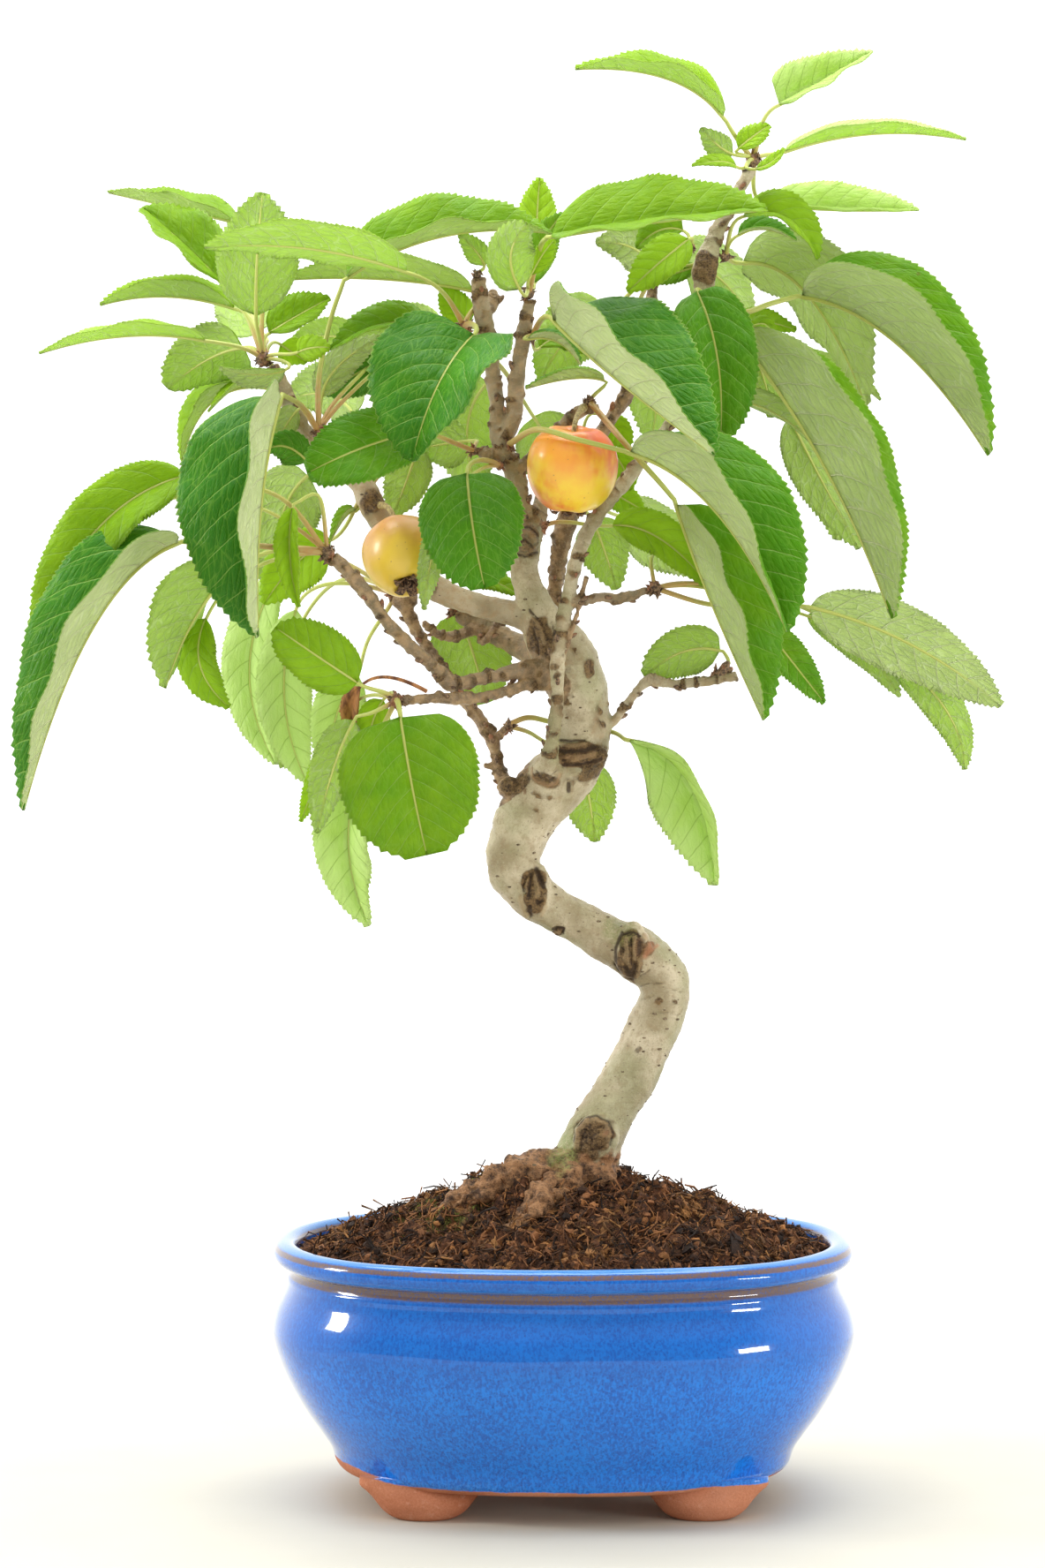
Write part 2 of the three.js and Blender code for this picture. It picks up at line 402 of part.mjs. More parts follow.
const SPRAYS = {
  leaves_left_tip: spray([-103, 392, 0],
    leaf([-104, 402, 45], [-109, 413, 66], [-111, 427, 84], 12, 180),
    leaf([-113, 439, 25], [-132, 443.5, 35], [-156, 449, 45], 10.5, 82, 33),
    leaf([-117, 418, 10], [-131, 432, 16], [-144.5, 443.5, 25], 13.5, 45, 32),
    leaf([-105.5, 407, -8], [-105, 428, -16], [-103, 449, -14], 14.3, 180, 15, { point: 1.3 }),
    leaf([-113, 409.5, 15], [-136, 413.5, 20], [-159, 410.5, 20], 11, 85, 38),
    leaf([-123, 398.5, -5], [-150, 400, -8], [-180, 394, -8], 10, 88, 27),
    leaf([-110, 396, 12], [-122, 392, 22], [-136, 382, 30], 12.5, 150, 10, { point: 1 }),
    leaf([-101, 401, 5], [-91, 407, 10], [-80, 413, 12], 8, -35, 25),
    leaf([-97, 397, 22], [-94, 395, 26], [-88, 391, 30], 5, 0, 10),
    leaf([-91, 394.5, -12], [-86, 396, -17], [-80, 396, -19], 4.5, 0, 10),
    leaf([-95.5, 388.5, -12], [-106, 387, -14], [-118, 389.5, -16], 6, 125, -20),
    leaf([-100, 382, 25], [-120, 378, 32], [-131, 357, 38], 11, 75, 35),
    leaf([-99, 385, 18], [-110, 384, 18], [-122, 374, 20], 6, 80, 20)),
  leaves_left_shoot: spray([-84, 367, -5],
    leaf([-74, 420, -8], [-42, 434, -10], [-4, 435, -2], 16.5, -68, 38,
      { via: [[-84, 385, -6], [-80, 405, -7]] }),
    leaf([-97, 379, -40], [-104, 342, -62], [-105, 297, -60], 28, 55, 48,
      { point: 1.3, via: [[-90, 376, -18]] }),
    leaf([-83, 379, 5], [-77, 390, 6], [-62, 400, 4], 6, 180, 20),
    leaf([-91, 375, -8], [-95, 370, -9], [-99, 362, -9], 5, 150, 10),
    leaf([-88, 357, -8], [-95, 362, -12], [-102, 361, -14], 6, 0, 10),
    leaf([-62, 392, 14], [-71, 387, 20], [-82, 380, 24], 8.5, 10, 20),
    leaf([-70, 398, 35], [-80, 400, 42], [-93, 399, 48], 7, 150)),
  leaves_left_leader: spray([-34, 403, -4],
    leaf([-54, 422, -35], [-88, 430, -50], [-123, 430, -45], 12, 125, 15),
    leaf([-31, 415.5, 10], [-62, 419.5, 15], [-98, 419, 18], 12, 105, 30),
    leaf([-31, 400, -28], [-43, 383, -50], [-52, 357, -58], 25, 33, 25, { point: 1.2, widest: 0.38 }),
    leaf([-46, 402, -6], [-62, 404, -8], [-80, 395, -6], 8, 50, 30),
    leaf([-32, 404, 10], [-37, 410, 14], [-42, 417, 16], 5.5, 0)),
  leaf_left_leader_top: spray([-29.5, 421, -2],
    leaf([-27, 424, 0], [-30, 429, -4], [-36, 435, -6], 4, 180)),
  leaves_middle_top: spray([-12, 414.5, -3],
    leaf([-15, 416, -26], [-18, 428, -36], [-12, 438, -38], 8, 180, 10, { point: 0.9 }),
    leaf([-11, 421, -14], [-7, 428, -16], [-3, 433, -16], 4, 30),
    leaf([-9, 425, 30], [-9, 440, 36], [-8, 454, 40], 7, 0),
    leaf([-10, 418, 8], [-8, 430, 14], [0, 442, 18], 6, 0),
    leaf([-4, 434, -30], [32, 439, -36], [70, 443, -34], 18, -60, 28,
      { point: 1.2, via: [[-8, 430, -18]] })),
  leaves_middle: spray([-10.5, 400, -4],
    leaf([-3, 405, -28], [18, 385.5, -58], [52, 359, -80], 29, -62, 52, { point: 1.3 }),
    leaf([-12, 399, -14], [-2, 398, -16], [6, 390, -18], 4, -80, 45),
    leaf([-8, 396, 10], [0, 399, 14], [9, 393, 14], 5, -30)),
  leaves_behind_top: spray([31.5, 420, 14],
    leaf([41, 424, 45], [53, 420, 62], [65, 405, 72], 13, 160),
    leaf([27, 402, 50], [32, 386, 70], [30, 362, 84], 14, 180),
    leaf([14, 408, 44], [2, 400, 62], [-8, 384, 74], 12, 180),
    leaf([31, 422, 15], [24, 430, 22], [11, 432, 26], 8, 170),
    leaf([46, 424, 10], [37, 421, 12], [27, 418.5, 12], 3.4, 10)),
  leaves_right_knob: spray([55.5, 427, 5],
    leaf([62, 441, 8], [77, 440, 4], [87, 426, 2], 9, -50, 30),
    leaf([60, 434.5, -4], [69, 436.5, -8], [80, 432.5, -10], 4.5, -60, 40),
    leaf([62, 425, 24], [84, 414, 32], [104, 376, 38], 20, -135, 20)),
  leaves_left_of_knob: spray([44, 430, -1],
    leaf([43, 433, -8], [33, 425, -12], [22, 415, -12], 7.5, 20),
    leaf([41, 436, 2], [33, 436, 4], [25, 430, 6], 6, 20)),
  leaves_right: spray([52, 409, -1],
    leaf([82, 413.5, 10], [114, 398, 0], [146, 359, -2], 26, -73, 58,
      { via: [[62, 408, 2], [71, 411, 6]] }),
    leaf([60, 400, -8], [90, 355, -28], [113, 303, -30], 24, -80, 62),
    leaf([46, 415, -10], [53, 392, -22], [54, 364, -26], 14, -5, 15, { point: 1 }),
    leaf([60, 404, 20], [68, 405, 24], [80, 402, 28], 5, -30),
    leaf([63, 402, -2], [69, 404, -2], [72, 399, -4], 3, -30),
    leaf([62, 400, 14], [68, 388, 18], [72, 372, 20], 10, 180)),
  leaves_right_low: spray([42, 381, -4],
    leaf([50, 376, -5], [70, 375, -5], [92, 357, -2], 7, -120, 20),
    leaf([78, 372, 10], [88, 352, 14], [102, 327, 16], 9, 170, 15),
    leaf([80, 395, 57], [95, 388, 61], [109, 378, 64], 8, -100, 20)),
  leaves_top: spray([65, 460, 6],
    leaf([54.5, 475, -5], [35, 488, -8], [4, 491, -8], 12, 82, 33, { via: [[59, 468, 0]] }),
    leaf([74, 479, 0], [89, 487, 2], [106, 497, 4], 11, -45, 38, { point: 1.1, widest: 0.25 }),
    leaf([76, 463, 10], [106, 469, 12], [138, 467, 14], 9, -85, 30),
    leaf([70, 445, 20], [95, 443, 24], [122, 443, 28], 11, -60, 30),
    leaf([58, 462, -6], [53, 465, -8], [47, 471, -8], 4.5, 180),
    leaf([60, 464, -3], [65, 468, -2], [70.5, 472, 0], 4.5, -30),
    leaf([59, 458, -12], [53, 459.5, -16], [44, 458, -18], 4, 60),
    leaf([66, 457, -12], [71, 459, -13], [76, 464, -14], 3.5, -60)),
  leaf_over_apple: spray([-18.5, 363, -7],
    leaf([23, 360, -42], [52, 340.5, -52], [77, 298.5, -56], 24.5, -64, 49,
      { twist: 50, widest: 0.48, via: [[-9, 368, -36], [5, 364.5, -43]] })),
  leaves_left_stub: spray([-30.5, 360.5, -5],
    leaf([-50, 367, -30], [-68, 362, -48], [-88, 353, -50], 12.5, 20, 10,
      { point: 1, widest: 0.5, via: [[-44, 366, -20]] }),
    leaf([-33, 364, 12], [-41, 363, 16], [-51, 361, 20], 8.5, 180)),
  leaves_left_apple: spray([-22, 355.5, -8],
    leaf([-33, 352.5, -30], [-31, 334, -44], [-27, 313.5, -48], 17.5, 5, 6, { point: 0.95 }),
    leaf([-40, 340, -36], [-45, 325, -38], [-48, 306, -36], 4.5, 180)),
  leaves_right_apple: spray([9, 377.5, -8],
    leaf([39, 342, -20], [51, 309, -24], [69, 268, -26], 25, -60, 49,
      { via: [[24, 360, -24], [33, 350, -25]] }),
    leaf([14, 385, -6], [3, 385.5, -8], [-13, 382, -10], 5.5, 85, 40)),
  leaf_low_right: spray([-6.5, 335, -10],
    leaf([17, 335, -11], [34, 330, -12], [52, 312, -14], 8, -20, 20)),
  leaves_side_twig: spray([31.5, 313.5, -20],
    leaf([85, 307, -10], [119, 294.5, -5], [151, 273, 0], 12, 180, 8,
      { point: 1.3, via: [[50, 308, -8], [68, 307, -6]] }),
    leaf([84, 304, 5], [102, 294, 8], [116, 276, 10], 6, 180),
    leaf([110, 292, 8], [131, 273, 12], [138.5, 251, 16], 7, 180),
    leaf([68, 302, -6], [79, 288, -4], [90, 274, -2], 6.5, -20, 15),
    leaf([37, 330, -3], [42, 331, -1], [49, 328, 1], 5, -40, 12, { via: [[30.5, 324, -12]] })),
  leaf_right_twig: spray([53, 284.5, -9],
    leaf([54, 292, -5], [41, 291.5, -4], [28, 283, -2], 8.5, 180, 8,
      { point: 1, via: [[57, 287.5, -8]] })),
  leaf_trunk_right: spray([17, 264, -2],
    leaf([23, 261, -8], [44, 246, -16], [53, 211, -18], 16, 40, 40, { point: 1.1, widest: 0.6 })),
  leaf_trunk_back: spray([5, 256, 13],
    leaf([6, 254, 25], [9, 241, 26], [11, 226, 26], 9.5, 180, 8)),
  leaves_behind_stem: spray([5, 340, 17],
    leaf([10, 337, 24], [14, 327, 28], [18.5, 313, 30], 9, 180, 8),
    leaf([14, 372, 22], [19, 367, 23], [22, 361, 24], 5, 0),
    leaf([17, 360, 28], [21, 354, 29], [23, 347, 30], 5, 0),
    leaf([14, 348, 36], [21, 344, 38], [28, 340, 40], 5, 0),
    leaf([20, 338, 50], [34, 331, 66], [49, 318, 74], 12, 160)),
  leaves_far_left: spray([-81, 325.5, -38],
    leaf([-133, 329, -45], [-162, 300, -58], [-186, 237, -50], 22, 67, 43, { via: [[-104, 328, -42]] }),
    leaf([-130, 352, -38], [-160, 334, -45], [-183, 296, -40], 12, 25, 20, { via: [[-98, 345, -38]] }),
    leaf([-131, 345, -26], [-145, 341, -24], [-160, 330, -22], 5, 110),
    leaf([-93, 341, -40], [-94, 325, -44], [-91, 307, -42], 5.5, 20, 40, { via: [[-84, 345, -38]] }),
    leaf([-114, 319, -25], [-127, 303, -28], [-137, 279, -28], 16, 130, 35),
    leaf([-123, 303, -15], [-125, 287, -16], [-115, 272.5, -14], 8, 30)),
  leaves_low_left: spray([-57.5, 275, -40],
    leaf([-56, 269, -52], [-52, 245, -60], [-47, 221.5, -62], 23.5, 8, 8, { point: 0.85, widest: 0.42 }),
    leaf([-71, 281, -46], [-86, 291, -50], [-99, 300, -48], 10.5, 10, 12, { point: 1 }),
    leaf([-72, 268, -30], [-79, 252, -28], [-85, 229, -22], 8, 165, 15, { via: [[-65, 271, -36]] }),
    leaf([-62, 275, -26], [-66, 269, -24], [-71, 259, -22], 7, 0),
    leaf([-76, 268, -16], [-84, 250, -12], [-90.5, 233, -10], 4, 0),
    leaf([-69, 250, -14], [-74, 225, -8], [-67, 197, -6], 12, 25, 30, { via: [[-63, 264, -28]] })),
  leaves_left_spur: spray([-58, 311.5, 14],
    leaf([-98, 318, 40], [-108, 285, 50], [-99, 253, 50], 10, 20),
    leaf([-92, 306, 30], [-96, 275, 40], [-88, 246, 42], 10, 0),
    leaf([-71, 284, 18], [-78, 270, 22], [-82, 250, 24], 9, 0, 12,
      { via: [[-60, 307, 15], [-67, 296, 16]] }),
    leaf([-91, 300, 80], [-99, 275, 92], [-96, 252, 96], 12, 170)),
  leaves_behind_leader: spray([-26, 392, 4.5],
    leaf([-41, 401, 45], [-56, 399, 66], [-72, 388, 80], 12, 160),
    leaf([-26, 384, 48], [-33, 368, 66], [-29, 345, 76], 14, 180),
    leaf([-10, 372, 44], [-3, 358, 60], [3, 338, 66], 12, 180)),
  leaves_behind_right: spray([41, 382, 4],
    leaf([62, 390, 48], [80, 383, 66], [96, 366, 78], 13, 160, 12, { via: [[50, 385, 32]] }),
    leaf([88, 374, 52], [94, 352, 66], [94, 330, 74], 12, 180, 12,
      { via: [[56, 378, 34], [76, 384, 48]] })),
  leaves_behind_branch: spray([-68, 346, 8],
    leaf([-50, 362, 14], [-54, 350, 18], [-59, 338, 20], 8, 180),
    leaf([-80, 330, 12], [-92, 322, 18], [-103, 308, 22], 10, 0),
    leaf([-72, 340, 8], [-75, 338, 6], [-80, 330, 2], 4, 70, 35),
    leaf([-88, 352, 42], [-97, 337, 58], [-100, 310, 64], 13, 180),
    leaf([-72, 373, 40], [-81, 380, 60], [-95, 378, 76], 12, 160)),
  leaves_dead_spur: spray([-38, 305.5, 20.5],
    leaf([-36, 306, 26], [-31, 291, 28], [-26, 274, 28], 14, 180, 8, { point: 1.1 }),
    leaf([-38, 318, 20], [-27, 317, 22], [-15, 311, 22], 6, -40)),
};

const WITHERED = {
  withered_leaf: spray([-47, 278, -32],
    leaf([-56, 278, -26], [-64, 274, -18], [-69, 262, -12], 3.6, 20, 30)),
};

const radians = THREE.MathUtils.degToRad;

const ribOf = ({ base, middle, tip }) => {
  const [start, through, end] = [base, middle, tip].map(at);
  const pull = through.clone().multiplyScalar(2).sub(start.clone().add(end).multiplyScalar(0.5));
  return new THREE.QuadraticBezierCurve3(start, pull, end);
};

// Half width of a blade, for a largest one of 1, at a share of its length.
const outline = (share, { point, widest }) =>
  (share / widest) ** (point * widest) * ((1 - share) / (1 - widest)) ** (point * (1 - widest));

// The corners of a four-sided stalk about a point, in the order of the section at a blade's root.
const STALK_CORNERS = [[0, 1], [1, 0], [0, -1], [-1, 0]];

// A leaf is one body from the end of its stalk in the spur to its tip. Its blade has a valley and a
// tooth in each interval of either edge, and faces and underside are split alike.
function leafBody(one, spur) {
  const { thick, spacing, fewest, most, tooth, root } = BLADE;
  const rib = ribOf(one);
  const size = rib.getLength() + 2 * one.half;
  const intervals = THREE.MathUtils.clamp(Math.round(size / spacing), fewest, most);
  const bite = Math.min(tooth, one.half / 8);
  const fold = radians(one.fold);
  const points = [];
  const add = (point) => points.push(point) - 1;
  // top and underside of a spot on the blade
  const pair = (point, normal) =>
    [1, -1].map((way) => add(point.clone().addScaledVector(normal, (way * thick) / 2)));
  const frameAt = (share) => {
    const point = rib.getPoint(share);
    const along = rib.getTangent(share);
    const toView = VIEWPOINT.clone().sub(point).normalize();
    const across = along.clone().cross(toView).normalize();
    const facing = across.clone().cross(along);
    const roll = radians(one.roll + one.twist * (share - 0.5));
    const side = across.clone().multiplyScalar(Math.cos(roll)).addScaledVector(facing, -Math.sin(roll));
    const normal = facing.multiplyScalar(Math.cos(roll)).addScaledVector(across, Math.sin(roll));
    return { point, along, side, normal };
  };
  // right is 1 for the side that lies right of the way to the tip, -1 for the left one
  const edge = (step, right) => {
    const share = step / (2 * intervals);
    const { point, along, side, normal } = frameAt(share);
    const out = step % 2 === 1 ? bite : 0;
    const way = side.clone().multiplyScalar(right * Math.cos(fold)).addScaledVector(normal, Math.sin(fold));
    const face = normal.multiplyScalar(Math.cos(fold)).addScaledVector(side, -right * Math.sin(fold));
    if (step === 0) {
      const corner = add(point.addScaledVector(side, right * root));
      return [corner, corner];
    }
    const width = Math.max(one.half * outline(share, one), root) + out;
    return pair(point.addScaledVector(way, width).addScaledVector(along, out), face);
  };
  const ribs = Array.from({ length: intervals + 1 }, (_, i) => {
    const { point, normal } = frameAt(i / intervals);
    return pair(point, normal.divideScalar(Math.cos(fold)));
  });
  const faces = [];
  const roots = { 1: 0, "-1": 0 };
  for (const right of [1, -1]) {
    const turned = (a, b, c) => faces.push(right === 1 ? [a, b, c] : [a, c, b]);
    const both = (a, b, c) => {
      turned(a[0], b[0], c[0]);
      turned(a[1], c[1], b[1]);
    };
    const rim = Array.from({ length: 2 * intervals }, (_, step) => edge(step, right));
    rim.push(ribs.at(-1));
    for (let i = 0; i < intervals; i++) {
      both(ribs[i], rim[2 * i], rim[2 * i + 1]);
      both(ribs[i], rim[2 * i + 1], ribs[i + 1]);
      if (i + 1 < intervals) both(ribs[i + 1], rim[2 * i + 1], rim[2 * i + 2]);
    }
    for (let step = 0; step < 2 * intervals; step++) {
      const [from, to] = [rim[step], rim[step + 1]];
      turned(from[1], to[1], to[0]);
      if (step > 0) turned(from[1], to[0], from[0]);
    }
    roots[right] = rim[0][0];
  }
  // the stalk, from the blade's root back to the spur
  const start = at(spur);
  const base = rib.getPoint(0);
  const lead = rib.getTangent(0).multiplyScalar(-STALK.lead * start.distanceTo(base));
  const bends = one.via.length ? one.via.map(at) : [base.clone().add(lead)];
  const route = [start, ...bends, base];
  const { side, normal } = frameAt(0);
  let section = [ribs[0][0], roots[1], ribs[0][1], roots[-1]];
  let [outwards, upwards] = [side, normal];
  for (let i = route.length - 2; i >= 0; i--) {
    const along = route[i + 1].clone().sub(route[Math.max(i - 1, 0)]).normalize();
    outwards = outwards.clone().addScaledVector(along, -outwards.dot(along)).normalize();
    upwards = outwards.clone().cross(along);
    const next = STALK_CORNERS.map(([out, up]) =>
      add(
        route[i]
          .clone()
          .addScaledVector(outwards, out * STALK.radius)
          .addScaledVector(upwards, up * STALK.radius),
      ),
    );
    for (let k = 0; k < 4; k++) {
      const m = (k + 1) % 4;
      faces.push([section[k], next[k], next[m]], [section[k], next[m], section[m]]);
    }
    section = next;
  }
  faces.push([section[0], section[3], section[2]], [section[0], section[2], section[1]]);
  return solid(points, faces);
}

function sprayOf({ spur, leaves }) {
  const bud = solidOf(new THREE.IcosahedronGeometry(BUD_RADIUS, 0).translate(...at(spur).toArray()));
  return largest(joined([bud, ...leaves.map((one) => leafBody(one, spur))]).subtract(roomForTree));
}

// ---- the whole plant ----

const bonsai = new THREE.Group();

function put(name, made, finish) {
  const { vertProperties, triVerts } = made.getMesh();
  const geometry = new THREE.BufferGeometry();
  geometry.setAttribute("position", new THREE.BufferAttribute(vertProperties, 3));
  geometry.setIndex(new THREE.BufferAttribute(triVerts, 1));
  const mesh = new THREE.Mesh(geometry, finish);
  mesh.name = name;
  bonsai.add(mesh);
}

put("pot", pot(), GLAZE);
put("soil", soil(), EARTH);
put("trunk_and_branches", tree, BARK);
for (const [name, one] of Object.entries(APPLES)) put(name, apple(one), APPLE_SKIN);
for (const [name, one] of Object.entries(SPRAYS)) put(name, sprayOf(one), LEAF_GREEN);
for (const [name, one] of Object.entries(WITHERED)) put(name, sprayOf(one), WITHERED_BROWN);

// The origin is on the floor under the middle of the whole plant's reach.
const reach = new THREE.Box3().setFromObject(bonsai);
const middle = reach.getCenter(new THREE.Vector3());
bonsai.position.set(-middle.x, -middle.y, -reach.min.z);

export default bonsai;
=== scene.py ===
import math

import bmesh
import bpy
import numpy as np
from mathutils import Matrix, Vector, kdtree, noise


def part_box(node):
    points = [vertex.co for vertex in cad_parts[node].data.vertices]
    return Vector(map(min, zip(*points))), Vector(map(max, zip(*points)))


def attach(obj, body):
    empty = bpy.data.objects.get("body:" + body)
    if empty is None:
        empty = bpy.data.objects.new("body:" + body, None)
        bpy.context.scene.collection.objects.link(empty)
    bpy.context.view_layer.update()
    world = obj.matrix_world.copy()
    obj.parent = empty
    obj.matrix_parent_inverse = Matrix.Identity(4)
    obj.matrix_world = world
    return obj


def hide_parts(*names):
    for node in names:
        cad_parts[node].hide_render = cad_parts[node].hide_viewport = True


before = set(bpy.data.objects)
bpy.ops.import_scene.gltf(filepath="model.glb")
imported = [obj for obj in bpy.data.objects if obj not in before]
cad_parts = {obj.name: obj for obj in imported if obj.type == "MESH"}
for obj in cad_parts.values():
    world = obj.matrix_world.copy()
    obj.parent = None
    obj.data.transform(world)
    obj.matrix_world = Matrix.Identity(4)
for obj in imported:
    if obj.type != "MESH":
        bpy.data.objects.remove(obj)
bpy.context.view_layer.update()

MM = 0.001


# ---- the pot ----
# A stoneware pot with a plan between an oval and an oblong, pressed in a mould with four feet and two
# drain holes. It was dipped in cobalt glaze down to a bare skirt of red clay. The glaze runs thin and
# brown over the rim's edge and in the groove under it.

POT_LOW, POT_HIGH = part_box("pot")
MIDDLE = Vector(((POT_LOW.x + POT_HIGH.x) / 2, (POT_LOW.y + POT_HIGH.y) / 2, 0))
PLAN_SQUARENESS = 2.3
PLAN_DEPTH = 0.78
# Half width and height in mm: the underside, up the outside, over the rim and down to the floor inside.
POT_PROFILE = [
    (66, 10.4), (71, 10.2), (74.5, 10.4), (77, 11.6), (78.6, 13.6), (79.4, 16), (80.8, 19.2),
    (84.6, 24.5), (89.4, 31), (93.9, 38.5), (97.5, 46), (99.8, 52.5), (100.7, 57), (100.4, 61),
    (99.2, 65.2), (97.4, 69), (96, 72), (95.4, 74.4), (95.3, 76.4), (94.6, 77.6), (94.2, 78.6),
    (94.3, 79.7), (94.9, 80.6), (96.8, 81.2), (98.6, 82), (99.6, 83.3), (99.9, 84.8), (99.6, 86),
    (99.2, 86.8), (98.4, 87.8), (97, 88.7), (95.2, 89.1), (93.4, 88.7), (92.2, 87.6), (91.5, 86),
    (91.2, 83), (91.2, 74), (91, 62), (88, 45), (80, 28), (73, 19.5), (66, 19),
]
FOOT_PLACE = (47, 41)
# half width, half depth and height up a foot in mm, from its flat underside into the pot's floor
FOOT_PROFILE = [
    (7, 5, 0.5), (9, 6.5, 0), (10.8, 7.6, 0.5), (12.8, 8.6, 1.6), (14.6, 9.4, 3.2), (16.2, 10, 5.2),
    (18, 9.8, 7.4), (20, 9, 9.4), (22, 8, 11.2), (22, 8, 14),
]
DRAIN_PLACE = 38
DRAIN_RADIUS = 7
DRAIN_ENDS = (5, 25)


def smooth_line(points, steps):
    """A smooth line through points, with so many steps from each to the next."""
    p = np.array(points, float)
    p = np.vstack([2 * p[0] - p[1], p, 2 * p[-1] - p[-2]])
    t = (np.arange(steps) / steps)[:, None]
    spans = [
        0.5 * (2 * b + (c - a) * t + (2 * a - 5 * b + 4 * c - d) * t**2 + (3 * b - a - 3 * c + d) * t**3)
        for a, b, c, d in zip(p, p[1:], p[2:], p[3:])
    ]
    return np.vstack([*spans, p[-2:-1]])


def placed(name, data):
    """An object in the scene, at the origin and unscaled."""
    thing = bpy.data.objects.new(name, data)
    bpy.context.scene.collection.objects.link(thing)
    return thing


def mesh_piece(name, points, faces):
    """A smooth mesh object of points in metres."""
    mesh = bpy.data.meshes.new(name)
    mesh.from_pydata(np.asarray(points, float).tolist(), [], [tuple(map(int, f)) for f in faces])
    mesh.shade_smooth()
    return placed(name, mesh)


def skin(rings):
    """Faces over rings of equally many points, with both ends closed."""
    count, sides = len(rings), len(rings[0])
    faces = [
        (r * sides + i, r * sides + (i + 1) % sides, (r + 1) * sides + (i + 1) % sides, (r + 1) * sides + i)
        for r in range(count - 1)
        for i in range(sides)
    ]
    ends = [tuple(range(sides))[::-1], tuple(range((count - 1) * sides, count * sides))]
    return faces + ends


def finished(piece):
    """The piece with its modifiers applied, as a plain mesh."""
    graph = bpy.context.evaluated_depsgraph_get()
    mesh = bpy.data.meshes.new_from_object(piece.evaluated_get(graph))
    piece.modifiers.clear()
    piece.data = mesh
    return piece


def mark(piece, name, values):
    """Keeps a number or a vector with each point of a piece, for its finish or its plan to read."""
    values = np.asarray(values, float)
    kind, key = ("FLOAT", "value") if values.ndim == 1 else ("FLOAT_VECTOR", "vector")
    piece.data.attributes.new(name, kind, "POINT").data.foreach_set(key, values.ravel())


def rumple(points, size, height, seed=0):
    """Smooth unevenness at points, size across and up to about height, both in mm."""
    offset = Vector((seed * 17.3, seed * 5.1, 0))
    return np.array([noise.noise(Vector(p) / (size * MM) + offset) for p in points]) * height * MM


def oval(half, z, sides=160):
    """A ring of the pot's plan, with so much half width, at height z, both in mm."""
    turn = np.linspace(0, 2 * np.pi, sides, endpoint=False)
    across, back = np.cos(turn), np.sin(turn)
    power = PLAN_SQUARENESS
    reach = half * (np.abs(across) ** power + np.abs(back) ** power) ** (-1 / power)
    ring = np.stack([reach * across, reach * back * PLAN_DEPTH, np.full(sides, z)], 1)
    return ring * MM + np.array(MIDDLE)


pot_rings = np.array([oval(half, z) for half, z in smooth_line(POT_PROFILE, 3)])
pot_points = pot_rings.reshape(-1, 3)
outwards = (pot_points - np.array(MIDDLE)) * (1, 1, 0)
outwards /= np.linalg.norm(outwards, axis=1)[:, None]
pot_points += outwards * rumple(pot_points, 38, 0.7)[:, None]
pot_points[:, 2] += rumple(pot_points, 60, 0.5, seed=2) * np.clip(pot_points[:, 2] / (80 * MM), 0, 1)
pot = mesh_piece("glazed_pot", pot_points, skin(pot_rings))


def level_oval(x, y, half_x, half_y, z):
    """A level ring in metres round a place in the plan, from sizes in mm."""
    turn = np.linspace(0, 2 * np.pi, 40, endpoint=False)
    ring = np.stack([x + half_x * np.cos(turn), y + half_y * np.sin(turn), np.full(len(turn), z)], 1)
    return ring * MM + np.array(MIDDLE)


# four feet are joined on, and two holes are cut through the floor
foot_points = []
foot_faces = []
for side_x in (1, -1):
    for side_y in (1, -1):
        rings = [
            level_oval(side_x * FOOT_PLACE[0], side_y * FOOT_PLACE[1], half_x, half_y, z)
            for half_x, half_y, z in smooth_line(FOOT_PROFILE, 3)
        ]
        start = sum(len(p) for p in foot_points)
        foot_faces += [tuple(start + v for v in face) for face in skin(rings)]
        foot_points.append(np.vstack(rings))
foot_points = np.vstack(foot_points)
foot_points[:, 2] = np.maximum(foot_points[:, 2], 0)
feet = mesh_piece("feet", foot_points, foot_faces)
drains = []
for side in (1, -1):
    rings = [level_oval(side * DRAIN_PLACE, 0, DRAIN_RADIUS, DRAIN_RADIUS, z) for z in DRAIN_ENDS]
    drains.append(mesh_piece("drain", np.vstack(rings), skin(rings)))
for operation, other in [("UNION", feet), ("DIFFERENCE", drains[0]), ("DIFFERENCE", drains[1])]:
    cut = pot.modifiers.new(operation, "BOOLEAN")
    cut.operation = operation
    cut.solver = "EXACT"
    cut.object = other
finished(pot)
for other in (feet, *drains):
    bpy.data.objects.remove(other)
pot.data.shade_smooth()


